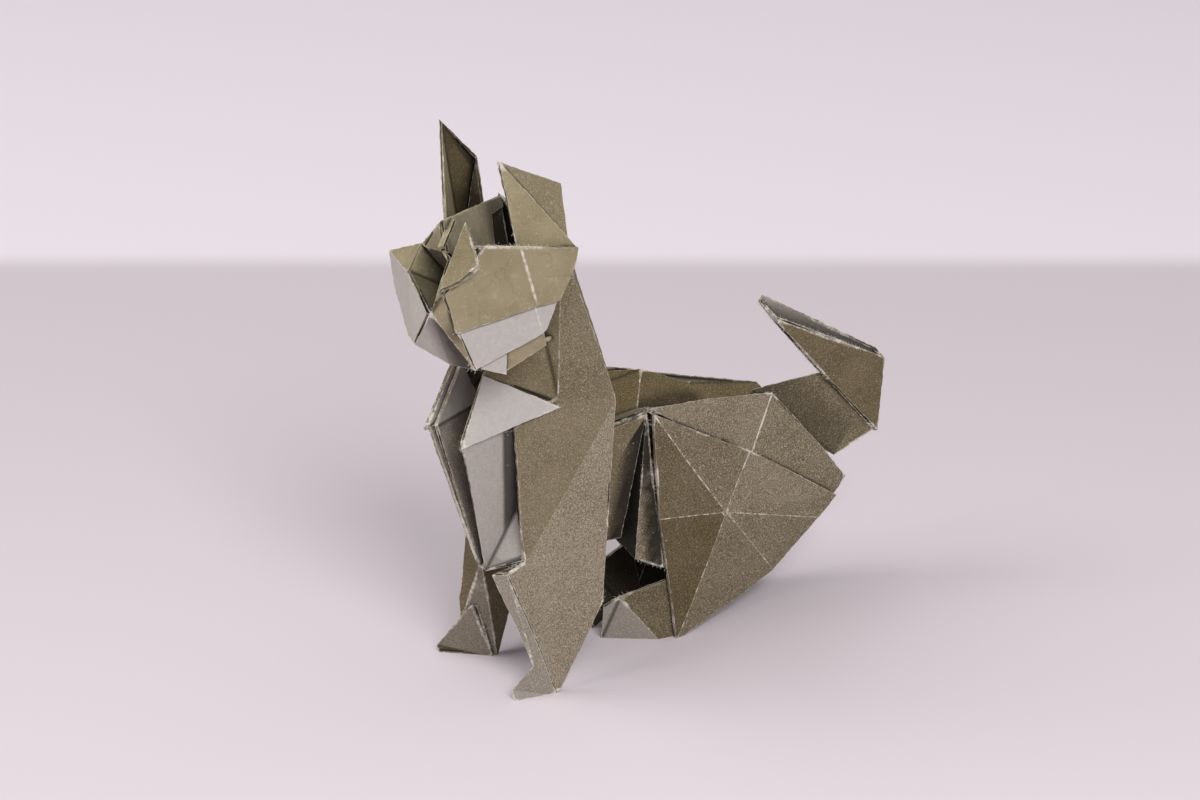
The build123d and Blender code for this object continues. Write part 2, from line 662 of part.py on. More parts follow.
def flank(side):
    """The side of the belly, pleated inwards in front of the haunch."""
    corners = {
        "top_front": (FLANK_FRONT, FLANK_TOP_HALF, FLANK_TOP_UP),
        "low_front": (FLANK_FRONT, FLANK_LOW_HALF, FLANK_LOW_UP),
        "low_edge": (FLANK_EDGE_AHEAD, FLANK_LOW_HALF, FLANK_LOW_UP),
        "apex": (PEAK_AHEAD, PEAK_HALF - PLEAT_TOP_INSET, PEAK_UP - PAPER),
        "deep": (PLEAT_DEEP_AHEAD, PLEAT_DEEP_HALF, PLEAT_DEEP_UP),
        "pleat_front": (PLEAT_FRONT_AHEAD, PLEAT_HALF, PLEAT_FRONT_UP),
        "pleat_rear": (PLEAT_REAR_AHEAD, PLEAT_HALF, PLEAT_REAR_UP),
    }
    if side < 0:
        corners = mirrored(corners)
    panels = [
        ("apex", "top_front", "low_front", "low_edge"),
        ("apex", "low_edge", "deep"),
        ("apex", "deep", "pleat_front"),
        ("apex", "pleat_front", "pleat_rear"),
    ]
    return folded_sheet(corners, panels, in_rump_frame)


def hind_paw(side):
    """The hind paw that comes forward from under the haunch."""
    corners = {
        "top": (HIND_TOP_AHEAD, HIND_TOP_HALF, HIND_TOP_UP),
        "nose": (HIND_NOSE_AHEAD, HIND_NOSE_HALF, HIND_NOSE_UP),
        "toe": (HIND_TOE_AHEAD, HIND_TOE_HALF, -TRIM_DEPTH),
        "mid": (HIND_MID_AHEAD, HIND_MID_HALF, -TRIM_DEPTH),
        "back": (HIND_BACK_AHEAD, HIND_BACK_HALF, HIND_BACK_UP),
        "heel": (HIND_HEEL_AHEAD, HIND_HEEL_HALF, -TRIM_DEPTH),
    }
    if side < 0:
        corners = mirrored(corners)
    panels = [("top", "nose", "toe"), ("top", "toe", "mid"), ("top", "mid", "heel", "back")]
    return folded_sheet(corners, panels, in_rump_frame)


def tail_root():
    """The two layers of the tail that come out between the haunches, open underneath."""
    left = {
        "front_low": (-TAIL_ROOT_FRONT_BEHIND, TAIL_ROOT_LOW_HALF, TAIL_ROOT_FRONT_UP),
        "low": (-TAIL_ROOT_LOW_BEHIND, TAIL_ROOT_LOW_HALF, TAIL_ROOT_LOW_UP),
        "end_low": (-TAIL_BEND_BEHIND, TAIL_ROOT_END_HALF, TAIL_BEND_UP),
    }
    corners = dict(left)
    corners.update({"right_" + name: corner for name, corner in mirrored(left).items()})
    corners["base"] = (-TAIL_BASE_BEHIND, 0, TAIL_TOP_UP)
    corners["rise"] = (-TAIL_ROOT_RISE_BEHIND, 0, TAIL_ROOT_RISE_UP)
    corners["end"] = (-(TAIL_BEND_BEHIND + TAIL_CORNER_BEHIND) / 2, 0, TAIL_ROOT_END_UP)
    side = [("low", "front_low", "base", "rise"), ("low", "rise", "end"), ("low", "end", "end_low")]
    panels = list(side)
    for panel in side:
        panels.append(tuple("right_" + name if name in left else name for name in panel))
    return folded_sheet(corners, panels, in_rump_frame)


def tail_tip():
    """The end of the tail, bent up and forward over its root, a slim channel that is open on top."""
    left = {
        "lip": (-TAIL_LIP_BEHIND, TAIL_HALF, TAIL_LIP_UP),
        "bend": (-TAIL_BEND_BEHIND, TAIL_HALF, TAIL_BEND_UP),
    }
    cap = Vector(*left["lip"]) * (1 - TAIL_CAP_SHARE) + Vector(*left["bend"]) * TAIL_CAP_SHARE
    left["cap"] = (cap.X, cap.Y, cap.Z)
    corners = dict(left)
    corners.update({"right_" + name: corner for name, corner in mirrored(left).items()})
    corners["corner"] = (-TAIL_CORNER_BEHIND, TAIL_HALF, TAIL_CORNER_UP)
    corners["right_corner"] = (-TAIL_CORNER_BEHIND, -TAIL_HALF, TAIL_CORNER_UP + TAIL_RISE)
    corners["right_tip"] = (-TAIL_TIP_BEHIND, -TAIL_HALF, TAIL_TIP_UP)
    corners["right_end"] = (-TAIL_END_BEHIND, -TAIL_HALF, TAIL_END_UP)
    panels = [
        ("lip", "corner", "bend", "cap"),
        ("corner", "bend", "right_bend", "right_corner"),
        ("right_tip", "right_end", "right_cap", "right_bend", "right_corner"),
        ("lip", "cap", "right_cap", "right_end"),
    ]
    return folded_sheet(corners, panels, in_rump_frame)


def left_cheek():
    """The left cheek: a pale layer, a dark layer over its upper part and two tucked in behind."""
    whole = {
        "front": on_cheek(CHEEK_FRONT_AHEAD, CHEEK_FRONT_UP),
        "top": on_cheek(CHEEK_TOP_AHEAD, CHEEK_TOP_UP),
        "crease_top": on_crease(CREASE_TOP_UP),
        "rear": on_cheek(CHEEK_REAR_AHEAD, CHEEK_REAR_UP),
        "side": on_cheek(CHEEK_SIDE_AHEAD, CHEEK_SIDE_UP),
        "seam_rear": on_cheek(SEAM_REAR_AHEAD, SEAM_REAR_UP),
        "jowl": on_cheek(JOWL_AHEAD, JOWL_UP),
        "crease_low": on_crease(CREASE_LOW_UP),
        "chin": on_cheek(CHIN_AHEAD, CHIN_UP),
        "lip": on_cheek(LIP_AHEAD, LIP_UP),
    }
    whole_panels = [
        ("front", "top", "crease_top", "crease_low", "chin", "lip"),
        ("crease_top", "rear", "side", "seam_rear", "jowl", "crease_low"),
    ]
    overlay = {
        "front": on_cheek(CHEEK_FRONT_AHEAD, CHEEK_FRONT_UP, CHEEK_LAYER_STEP),
        "top": on_cheek(OVERLAY_TOP_AHEAD, OVERLAY_TOP_UP, CHEEK_LAYER_STEP),
        "crease_top": on_crease(CREASE_TOP_UP, CHEEK_LAYER_STEP),
        "rear": on_cheek(CHEEK_REAR_AHEAD, CHEEK_REAR_UP, CHEEK_LAYER_STEP),
        "side": on_cheek(CHEEK_SIDE_AHEAD, CHEEK_SIDE_UP, CHEEK_LAYER_STEP),
        "seam_rear": on_cheek(SEAM_REAR_AHEAD, SEAM_REAR_UP, CHEEK_LAYER_STEP),
        "seam_bend": on_crease(SEAM_BEND_UP, CHEEK_LAYER_STEP),
        "seam_mid": on_cheek(SEAM_MID_AHEAD, SEAM_MID_UP, CHEEK_LAYER_STEP),
        "seam_front": on_cheek(SEAM_FRONT_AHEAD, SEAM_FRONT_UP, CHEEK_LAYER_STEP),
    }
    overlay_panels = [
        ("front", "top", "crease_top", "seam_bend", "seam_mid", "seam_front"),
        ("crease_top", "rear", "side", "seam_rear", "seam_bend"),
    ]
    behind = {
        "chin": on_cheek(BEHIND_CHIN_AHEAD, BEHIND_CHIN_UP, -BEHIND_STEP),
        "low": on_cheek(BEHIND_LOW_AHEAD, BEHIND_LOW_UP, -BEHIND_STEP),
        "top": on_cheek(BEHIND_LOW_AHEAD, BEHIND_TOP_UP, -BEHIND_STEP),
        "chin_top": on_cheek(BEHIND_CHIN_AHEAD, BEHIND_TOP_UP, -BEHIND_STEP),
    }
    tucked = {
        "front": on_cheek(TUCK_FRONT_AHEAD, BEHIND_TOP_UP, -TUCK_STEP),
        "low": on_cheek(BEHIND_LOW_AHEAD, TUCK_LOW_UP, -TUCK_STEP),
        "rear_low": on_cheek(TUCK_REAR_AHEAD, TUCK_REAR_UP, -TUCK_STEP),
        "rear": on_cheek(JOWL_AHEAD, -BEHIND_TOP_UP, -TUCK_STEP),
    }
    return [
        folded_sheet(whole, whole_panels, in_head_frame),
        folded_sheet(overlay, overlay_panels, in_head_frame),
        folded_sheet(behind, [("chin", "low", "top", "chin_top")], in_head_frame),
        folded_sheet(tucked, [("front", "low", "rear_low", "rear")], in_head_frame),
    ]


def right_cheek():
    """The right cheek, pulled further open than the left one, with a free rim beside the nose."""
    corners = mirrored({
        "rear": (RIGHT_REAR_AHEAD, RIGHT_REAR_HALF, RIGHT_REAR_UP),
        "top": (RIGHT_TOP_AHEAD, RIGHT_TOP_HALF, RIGHT_TOP_UP),
        "rim": (RIGHT_RIM_AHEAD, RIGHT_RIM_HALF, RIGHT_RIM_UP),
        "seam": (RIGHT_SEAM_AHEAD, RIGHT_SEAM_HALF, RIGHT_SEAM_UP),
        "front": (RIGHT_FRONT_AHEAD, RIGHT_FRONT_HALF, NOSE_UP),
        "chin": (RIGHT_CHIN_AHEAD, RIGHT_CHIN_HALF, RIGHT_CHIN_UP),
        "jowl": (RIGHT_JOWL_AHEAD, RIGHT_JOWL_HALF, 0),
    })
    panels = [("rim", "top", "rear", "seam"), ("rim", "seam", "jowl", "chin"), ("rim", "chin", "front")]
    return folded_sheet(corners, panels, in_head_frame)


def muzzle():
    """The brow, the trough beside the nose, the nose itself and the jaw down to the neck."""
    corners = {
        "crest": (CREST_FRONT_AHEAD, 0, CREST_FRONT_UP),
        "right_top": (RIGHT_TOP_AHEAD, -RIGHT_TOP_HALF, RIGHT_TOP_UP),
        "brow": (BROW_AHEAD, -BROW_HALF, BROW_UP),
        "bridge": (BRIDGE_AHEAD, -BRIDGE_HALF, BROW_UP),
        "right_rim": (RIGHT_RIM_AHEAD, -RIGHT_RIM_HALF, RIGHT_RIM_UP),
        "trough": (TROUGH_AHEAD, -TROUGH_HALF, TROUGH_UP),
        "trough_side": (TROUGH_SIDE_AHEAD, TROUGH_SIDE_HALF, TROUGH_SIDE_UP),
        "flap_low": (FLAP_LOW_AHEAD, FLAP_LOW_OUT, FLAP_LOW_UP),
        "nose": (NOSE_AHEAD, 0, NOSE_UP),
        "front": on_cheek(CHEEK_FRONT_AHEAD, CHEEK_FRONT_UP),
        "lip": on_cheek(LIP_AHEAD, LIP_UP),
        "chin": on_cheek(CHIN_AHEAD, CHIN_UP),
        "jaw": (JAW_AHEAD, -JAW_HALF, JAW_UP),
        "right_chin": (RIGHT_CHIN_AHEAD, -RIGHT_CHIN_HALF, RIGHT_CHIN_UP),
        "socket": (NECK_SOCKET_AHEAD, NECK_SOCKET_HALF, NECK_SOCKET_UP),
        "right_socket": (NECK_SOCKET_AHEAD, -NECK_SOCKET_HALF, NECK_SOCKET_UP),
    }
    panels = [
        ("crest", "bridge", "brow"),
        ("crest", "brow", "right_top"),
        ("trough", "brow", "bridge"),
        ("trough", "right_rim", "right_top", "brow"),
        ("trough", "nose", "right_rim"),
        ("trough", "bridge", "trough_side"),
        ("trough", "trough_side", "nose"),
        ("nose", "trough_side", "flap_low"),
        ("nose", "flap_low", "front"),
        ("nose", "front", "lip"),
        ("nose", "lip", "chin", "jaw", "right_chin"),
        ("jaw", "chin", "socket", "right_socket"),
        ("jaw", "right_socket", "right_chin"),
    ]
    return folded_sheet(corners, panels, in_head_frame)


def nose_flap():
    """The flap that comes down over the left cheek beside the nose, with its lining."""
    flap = {
        "apex": (FLAP_APEX_AHEAD, FLAP_APEX_OUT, FLAP_APEX_UP),
        "tip": (FLAP_TIP_AHEAD, FLAP_TIP_OUT, FLAP_TIP_UP),
        "roll": (FLAP_ROLL_AHEAD, FLAP_ROLL_OUT, FLAP_ROLL_UP),
        "low": (FLAP_LOW_AHEAD, FLAP_LOW_OUT, FLAP_LOW_UP),
    }
    lining = {
        name: (ahead - FLAP_HEM / 2, out - FLAP_HEM / 2, up - FLAP_HEM)
        for name, (ahead, out, up) in flap.items()
    }
    panels = [("apex", "tip", "roll", "low")]
    return [folded_sheet(corners, panels, in_head_frame) for corners in (flap, lining)]


def pleat_strip():
    """The narrow pleat that runs down from the crest between the brow and the left flap."""
    corners = {
        "top_right": (PLEAT_STRIP_TOP_AHEAD, 0, PLEAT_STRIP_TOP_UP),
        "top_left": (PLEAT_STRIP_TOP_AHEAD, PLEAT_STRIP_WIDE, PLEAT_STRIP_TOP_UP),
        "low_left": (PLEAT_STRIP_AHEAD, PLEAT_STRIP_OUT + PLEAT_STRIP_WIDE, PLEAT_STRIP_UP),
        "low_right": (PLEAT_STRIP_AHEAD, PLEAT_STRIP_OUT, PLEAT_STRIP_UP),
    }
    panels = [("top_right", "top_left", "low_left", "low_right")]
    return folded_sheet(corners, panels, in_head_frame)


def skull():
    """The crest along the top of the head and the walls behind the cheeks that carry the ears."""
    socket = (NECK_SOCKET_AHEAD, 0, NECK_SOCKET_UP)
    crest = {
        "front": (CREST_FRONT_AHEAD, 0, CREST_FRONT_UP),
        "back": (CREST_BACK_AHEAD, 0, CREST_BACK_UP),
        "back_low": (CREST_BACK_AHEAD, 0, CREST_BACK_UP - CREST_STRIP),
        "cut": (CREST_CUT_AHEAD, 0, CREST_CUT_UP),
        "foot": (CREST_FOOT_AHEAD, 0, CREST_FOOT_UP),
        "front_low": (CREST_FRONT_AHEAD, 0, CREST_FRONT_UP - CREST_DEPTH),
    }
    left_wall = {
        "rear": on_cheek(CHEEK_REAR_AHEAD, CHEEK_REAR_UP),
        "seam_rear": on_cheek(SEAM_REAR_AHEAD, SEAM_REAR_UP),
        "ear_seat": (EAR_SEAT_AHEAD, EAR_SEAT_HALF, EAR_SEAT_UP),
        "socket": socket,
    }
    right_wall = {
        "rear": (RIGHT_REAR_AHEAD, -RIGHT_REAR_HALF, RIGHT_REAR_UP),
        "seam_rear": (RIGHT_SEAM_AHEAD, -RIGHT_SEAM_HALF, RIGHT_SEAM_UP),
        "ear_seat": (EAR_SEAT_AHEAD, -EAR_SEAT_HALF, EAR_SEAT_UP),
        "crest_back": (CREST_BACK_AHEAD, 0, CREST_BACK_UP),
        "socket": socket,
    }
    crest_panels = [("front", "back", "back_low", "cut", "foot", "front_low")]
    wall_panels = [("ear_seat", "rear", "seam_rear", "socket")]
    return [
        folded_sheet(crest, crest_panels, in_head_frame),
        folded_sheet(left_wall, wall_panels, in_head_frame),
        folded_sheet(right_wall, wall_panels + [("crest_back", "ear_seat", "socket")], in_head_frame),
    ]


def left_ear():
    """The left ear, folded along a line from its tip and bent outwards."""
    corners = {
        "tip": (LEFT_EAR_TIP_AHEAD, LEFT_EAR_TIP, LEFT_EAR_TIP_UP),
        "front": (LEFT_EAR_FRONT_AHEAD, LEFT_EAR_FRONT, LEFT_EAR_FRONT_UP),
        "rear": on_cheek(CHEEK_REAR_AHEAD, CHEEK_REAR_UP),
        "back": (LEFT_EAR_BACK_AHEAD, LEFT_EAR_BACK, LEFT_EAR_BACK_UP),
        "low": (LEFT_EAR_LOW_AHEAD, LEFT_EAR_LOW, LEFT_EAR_LOW_UP),
    }
    panels = [("tip", "front", "rear"), ("tip", "rear", "low", "back")]
    return folded_sheet(corners, panels, in_head_frame)


def right_ear():
    """The right ear, upright and open towards the front."""
    corners = mirrored({
        "tip": (RIGHT_EAR_TIP_AHEAD, RIGHT_EAR_TIP, RIGHT_EAR_TIP_UP),
        "front": (RIGHT_EAR_FRONT_AHEAD, RIGHT_EAR_FRONT, RIGHT_EAR_BASE_UP),
        "top": (RIGHT_EAR_TOP_AHEAD, RIGHT_EAR_TOP, RIGHT_EAR_TOP_UP),
        "fold_top": (RIGHT_EAR_FOLD_TOP_AHEAD, RIGHT_EAR_FOLD_TOP, RIGHT_EAR_FOLD_TOP_UP),
        "fold": (RIGHT_EAR_FOLD_AHEAD, RIGHT_EAR_FOLD, RIGHT_EAR_BASE_UP),
        "rear": (RIGHT_EAR_REAR_AHEAD, RIGHT_EAR_REAR, RIGHT_EAR_BASE_UP),
    })
    panels = [
        ("tip", "front", "fold", "fold_top"),
        ("tip", "fold_top", "top"),
        ("top", "fold_top", "fold", "rear"),
    ]
    return folded_sheet(corners, panels, in_head_frame)


def origami_dog():
    """All flaps joined into one piece, with the feet cut flat and the frame under its middle."""
    flaps = [mantle(), left_leg_lining(), left_front_paw(), right_front_leg(), right_front_paw()]
    flaps += [bib_foot(), saddle_and_rump(), tail_root(), tail_tip()]
    flaps += left_cheek() + nose_flap() + skull()
    flaps += [right_cheek(), muzzle(), pleat_strip(), left_ear(), right_ear()]
    for side in (1, -1):
        flaps += bib(side)
        flaps += [haunch(side), flank(side), hind_paw(side)]
    dog = flaps[0].fuse(*flaps[1:])
    dog = split(dog, Plane.XY, keep=Keep.TOP)
    box = dog.bounding_box()
    return dog.moved(Location((-box.center().X, -box.center().Y, 0)))


os.makedirs("parts", exist_ok=True)
dog = origami_dog()
dog.label = "origami_dog"
export_step(dog, "parts/origami_dog.step")
print("solids", len(dog.solids()), "volume", dog.volume, "box", dog.bounding_box().size)
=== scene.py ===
"""A sitting dog folded from one sheet of speckled paper, dressed over its solid model.

The solid gives every flap and fold.  Here its flat panels are cut into a fine net of triangles,
so that the paper can bulge, crinkle and soften at its folds, and the net carries how far each
point lies from a fold, so that the paper can be worn there and painted with shade in its valleys.  All
lengths are in metres.
"""
import math
import bmesh
import bpy
import numpy as np
from mathutils import Matrix, Vector, geometry, noise
from mathutils.bvhtree import BVHTree


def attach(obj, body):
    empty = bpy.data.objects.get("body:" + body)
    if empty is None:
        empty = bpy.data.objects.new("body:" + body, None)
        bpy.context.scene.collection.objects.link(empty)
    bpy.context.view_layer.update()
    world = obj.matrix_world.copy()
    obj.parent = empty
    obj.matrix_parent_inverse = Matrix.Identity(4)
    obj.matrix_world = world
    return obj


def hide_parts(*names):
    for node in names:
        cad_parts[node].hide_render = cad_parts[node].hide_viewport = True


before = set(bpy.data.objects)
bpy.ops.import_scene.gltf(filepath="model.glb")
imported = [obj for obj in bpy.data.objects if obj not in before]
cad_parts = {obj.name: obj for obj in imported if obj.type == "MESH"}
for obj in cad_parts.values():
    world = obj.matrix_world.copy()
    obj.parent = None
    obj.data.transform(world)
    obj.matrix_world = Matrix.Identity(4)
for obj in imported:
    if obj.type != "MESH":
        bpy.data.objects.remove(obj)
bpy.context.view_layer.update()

MM = 0.001


def srgb(red, green, blue):
    """A colour given as screen values from 0 to 255, as the shader wants it."""
    shares = [value / 255 for value in (red, green, blue)]
    return (*(s / 12.92 if s < 0.0404 else ((s + 0.055) / 1.055) ** 2.4 for s in shares), 1.0)


# Net of triangles
EDGE_STEP = 0.6 * MM        # between points along a fold or an edge
RING_INSET = 0.3 * MM       # first row of points inside a panel's outline
INNER_STEP = 1.1 * MM       # between points in the middle of a panel
RIM_WIDTH = 0.6 * MM        # a panel narrower than this is the edge of the paper
SLIT_STEP = 0.25 * MM       # between points along the middle of such an edge
SLIT_DEPTH = 0.14 * MM      # the gap between two layers, seen at the edge of the paper
SLIT_CLEAR = 0.12 * MM      # those points keep this far from the edge's outline
CLEAR_SHARE = 0.8           # other points keep this share of their step from it
ROW_SHARE = 0.866           # between rows of a staggered grid, against the step along a row
MERGE_REACH = 0.002 * MM    # corners nearer than this are one
FOLD_ANGLE = math.radians(12)       # panels that meet at more than this make a fold
PANEL_ANGLE = math.radians(0.35)    # facets that meet at less than this make one panel
SHARP_ANGLE = math.radians(30)      # triangles that meet at more than this show a sharp line
EDGE_REACH = 0.01 * MM      # a point this near to a ridge lies on it
FAR = 3.0 * MM              # distances to folds are kept up to here

# How far the paper strays from flat
BULGE = 0.28 * MM
BULGE_LENGTH = 17 * MM
CRINKLE = 0.05 * MM
CRINKLE_LENGTH = 3.2 * MM
FRAY = 0.09 * MM            # how far a worn edge strays from straight
FRAY_LENGTH = 0.8 * MM
STRAY_SEED = 5              # the paper strays in the same way each time
SHELTER_REACH = 17 * MM     # paper nearer than this shelters a point from the light
SHELTER_LOOKS = 60          # directions tried
SHELTER_LIFT = 0.12 * MM    # each look starts this far off the paper
SHELTER_GRAZE = 0.05        # looks flatter than this are left out
HOLLOW_STEEPNESS = 1.8      # how soon a hollow is fully dark
FLOOR_HOLD = 5 * MM         # below this height the paper is held where it stands

# The head and the rump have frames of their own, turned against the chest
HEAD_PLACE = Vector((18.35, -0.95, 55.0)) * MM
HEAD_TURN = math.radians(22)
RUMP_PLACE = Vector((-5.65, -0.95, 0.0)) * MM
RUMP_TURN = math.radians(-12)
SKULL_ABOVE, SKULL_AHEAD = 3 * MM, 1 * MM           # where the skull begins in the head's frame
MUZZLE_ABOVE, MUZZLE_AHEAD = -6 * MM, 5.5 * MM      # and where the muzzle does

# Panels that show the pale back of the paper:
# middle, facing, reach, how many sides of it and how pale
# A share under 1 mixes in the darker face; on shaded panels such as the jaw and the far bib's lining this
# is painted shade
PALE_PANELS = {
    "left bib": ((25.7, 2.0, 31.0), (0.17, 0.97, -0.18), 13.0, 2, 0.72),
    "left bib foot": ((23.8, 1.9, 21.9), (0.83, 0.53, 0.18), 5.2, 2, 0.75),
    "left bib top": ((27.4, 2.9, 41.9), (0.16, 0.98, 0.14), 2.5, 2, 0.9),
    "left bib flap": ((26.3, 3.8, 42.5), (0.32, 0.92, 0.24), 2.2, 2, 1.0),
    "right bib": ((25.7, -3.9, 31.0), (0.17, -0.97, -0.18), 13.0, 1, 0.8),
    "right bib top lining": ((26.8, -4.1, 41.9), (-0.25, 0.95, -0.18), 2.5, 1, 0.9),
    "right bib flap lining": ((28.0, -4.4, 42.3), (-0.16, 0.98, -0.14), 2.5, 1, 0.9),
    "right bib lining": ((25.6, -3.7, 31.0), (-0.2, 0.96, 0.17), 13.0, 1, 0.3),
    "right bib foot": ((23.8, -3.7, 21.9), (0.83, -0.53, 0.18), 5.2, 2, 0.9),
    "right bib top": ((27.1, -4.5, 41.9), (0.20, -0.97, 0.16), 2.5, 2, 0.75),
    "right bib flap": ((26.3, -5.7, 42.5), (0.32, -0.92, 0.24), 2.2, 2, 0.9),
    "bib hem": ((24.5, -0.9, 19.4), (0.63, 0.0, 0.78), 5.9, 2, 0.9),
    "left leg hem": ((23.5, 4.4, 10.8), (0.56, 0.82, -0.13), 12.0, 2, 0.28),
    "left front paw": ((21.9, 4.7, 1.8), (0.32, 0.95, -0.02), 4.2, 2, 0.5),
    "right front paw": ((22.5, -8.9, 3.3), (0.73, 0.59, -0.35), 6.6, 2, 0.2),
    "left hind toe": ((5.4, -0.2, 4.3), (0.45, 0.83, -0.33), 5.0, 2, 0.5),
    "left hind paw": ((3.1, 1.0, 2.2), (0.66, 0.71, -0.26), 5.5, 2, 0.42),
    "right hind toe": ((4.1, -6.2, 4.3), (0.07, -0.94, -0.33), 5.0, 1, 0.7),
    "right hind paw": ((1.5, -6.3, 2.2), (0.31, -0.91, -0.26), 5.5, 1, 0.7),
    "left jowl": ((30.6, 10.0, 56.2), (0.29, 0.96, -0.02), 8.0, 1, 1.0),
    "left jowl rear": ((24.7, 11.7, 58.0), (0.24, 0.97, -0.01), 5.0, 1, 1.0),
    "behind the chin": ((31.4, 9.1, 53.0), (0.29, 0.96, -0.02), 2.9, 1, 1.0),
    "right jowl": ((35.5, -2.7, 56.9), (0.91, -0.41, 0.0), 6.5, 1, 0.8),
    "right jowl front": ((37.1, 1.6, 58.7), (0.95, -0.29, 0.07), 5.0, 1, 0.8),
    "jaw front": ((37.1, 4.3, 55.5), (0.85, 0.30, -0.43), 1.2, 1, 0.75),
    "jaw": ((35.9, 6.8, 54.8), (0.86, 0.27, -0.43), 1.2, 1, 0.5),
    "throat": ((27.2, 3.8, 51.2), (0.08, 0.16, -0.98), 9.4, 1, 0.5),
    "throat right": ((31.3, 1.0, 52.0), (0.37, -0.26, -0.89), 11.0, 1, 0.5),
    "crest": ((27.2, 0.7, 67.4), (-0.37, 0.91, 0.17), 3.0, 1, 0.12),
    "inside of the tail": ((-28.1, 2.8, 36.8), (0.21, 0.98, 0.0), 19.0, 1, 0.5),
    "end of the tail": ((-21.6, 2.4, 41.7), (0.77, -0.20, -0.60), 3.5, 2, 0.8),
}
PALE_FACING = 0.94          # how closely a panel faces as its entry says
PALE_OFFSET = 0.55 * MM     # and how near it lies to the entry's plane
CHEEK_OFFSET = 0.15 * MM    # nearer for the cheeks, which lie close to the pale jowls

# Panels whose paper is smoother and more olive than the rest: middle, facing, reach and share
OLIVE_PANELS = {
    "left cheek": ((32.5, 10.0, 62.4), (0.29, 0.96, -0.02), 8.0, 1.0),
    "left cheek rear": ((24.5, 12.2, 63.4), (0.24, 0.97, -0.01), 7.0, 1.0),
    "left ear back": ((22.6, 9.1, 70.3), (-0.33, 0.77, 0.55), 9.0, 0.6),
    "left neck": ((25.1, 3.1, 47.6), (0.31, 0.93, 0.21), 9.0, 0.5),
    "left neck fold": ((19.3, 4.6, 51.6), (0.82, 0.57, 0.08), 4.0, 0.4),
    "left chest": ((22.7, 5.1, 36.0), (0.19, 0.98, -0.01), 11.5, 0.35),
    "left neck side": ((15.2, 6.4, 47.5), (0.13, 0.99, 0.05), 8.0, 0.2),
    "left flank": ((8.9, 1.6, 25.4), (0.25, 0.97, -0.07), 13.0, 0.3),
    "left shoulder": ((18.0, 5.9, 36.3), (0.15, 0.99, -0.02), 5.0, 0.25),
    "tail": ((-29.8, 5.2, 34.1), (0.21, 0.98, 0.0), 15.5, 0.3),
}
OLIVE_OFFSET = 0.28 * MM
HEAD_OLIVE = 0.9            # share on the rest of the head

# Panels whose paper is lighter and more thickly speckled: middle, facing, reach and share
TAN_PANELS = {
    "left leg": ((17.8, 6.0, 24.8), (0.23, 0.97, 0.03), 6.0, 1.0),
    "left shin": ((22.8, 4.8, 13.3), (0.16, 0.99, 0.01), 5.0, 1.0),
    "left heel": ((18.5, 6.0, 10.9), (0.29, 0.96, -0.02), 5.0, 1.0),
    "left hip": ((-10.0, 4.6, 31.1), (-0.05, 0.99, 0.13), 4.0, 0.45),
    "left haunch": ((-18.5, 6.1, 18.6), (-0.02, 1.0, 0.07), 4.0, 0.45),
}

# Panels painted darker and browner than the rest, partly for the paper's own darker tone and partly as
# painted shade on panels in shadow: middle, facing, reach and share
UMBER_AND_SHADE_PANELS = {
    "right ear": ((23.5, -7.5, 69.6), (-0.24, 0.97, -0.09), 3.0, 0.85),
    "right ear top": ((23.1, -7.0, 73.5), (0.42, 0.72, -0.56), 3.0, 0.5),
    "right ear fold": ((21.7, -6.8, 64.2), (0.97, 0.23, 0.08), 3.0, 0.4),
    "nose flap": ((36.1, 9.0, 66.5), (0.74, 0.52, 0.43), 5.0, 0.4),
    "jaw front": ((37.1, 4.3, 55.5), (0.85, 0.30, -0.43), 1.2, 0.15),
    "jaw": ((35.9, 6.8, 54.8), (0.86, 0.27, -0.43), 1.2, 0.5),
    "neck": ((25.1, 3.1, 47.6), (0.31, 0.93, 0.21), 9.0, 0.4),
    "neck fold": ((19.3, 4.6, 51.6), (0.82, 0.57, 0.08), 4.0, 0.4),
    "chest": ((21.9, 5.5, 39.2), (0.19, 0.98, -0.01), 3.0, 0.2),
    "shoulder": ((19.3, 5.8, 32.4), (0.15, 0.99, -0.02), 3.0, 0.2),
    "neck side": ((15.2, 6.4, 47.5), (0.13, 0.99, 0.05), 8.0, 0.22),
    "saddle front": ((6.9, -1.7, 32.8), (0.01, -0.37, 0.93), 5.0, 0.8),
    "saddle": ((3.5, -5.5, 33.3), (0.16, 0.34, 0.93), 5.0, 0.95),
    "loin": ((-7.0, -2.9, 33.0), (-0.07, 0.47, 0.88), 3.0, 0.85),
    "loin rear": ((-14.3, -1.0, 31.9), (0.0, 0.37, 0.93), 4.0, 0.85),
    "loin end": ((-17.8, 1.1, 30.9), (0.01, 0.43, 0.90), 3.0, 0.85),
    "tail": ((-29.8, 5.2, 34.1), (0.21, 0.98, 0.0), 8.0, 0.65),
    "tail root": ((-21.9, 2.7, 29.5), (0.21, 0.97, 0.10), 6.0, 0.35),
    "tail root rear": ((-33.9, 5.4, 26.8), (0.17, 0.98, 0.11), 5.0, 0.3),
    "thigh": ((-3.4, 5.5, 9.2), (0.12, 0.99, -0.03), 4.0, 0.8),
    "knee": ((-2.2, 5.7, 24.2), (0.12, 0.99, -0.01), 4.0, 0.6),
    "hind paw rear": ((-1.5, 4.1, 3.6), (0.39, 0.92, -0.06), 3.0, 0.5),
    "hip front": ((-7.4, 5.9, 26.0), (-0.01, 1.0, 0.08), 3.0, 0.15),
    "hock": ((-8.9, 5.7, 5.6), (0.03, 1.0, -0.06), 4.0, 0.12),
    "flank": ((10.3, 1.7, 28.2), (0.27, 0.96, -0.04), 3.0, 0.35),
    "flank rear": ((7.2, 2.1, 22.9), (0.21, 0.97, -0.09), 3.0, 0.4),
    "right shin": ((23.9, -6.9, 15.7), (0.99, -0.13, 0.02), 7.0, 0.7),
    "right foot": ((22.3, -8.2, 4.1), (0.73, 0.60, -0.33), 5.0, 0.4),
    "right leg": ((18.8, -6.8, 7.6), (-0.43, 0.90, -0.05), 10.0, 0.7),
}
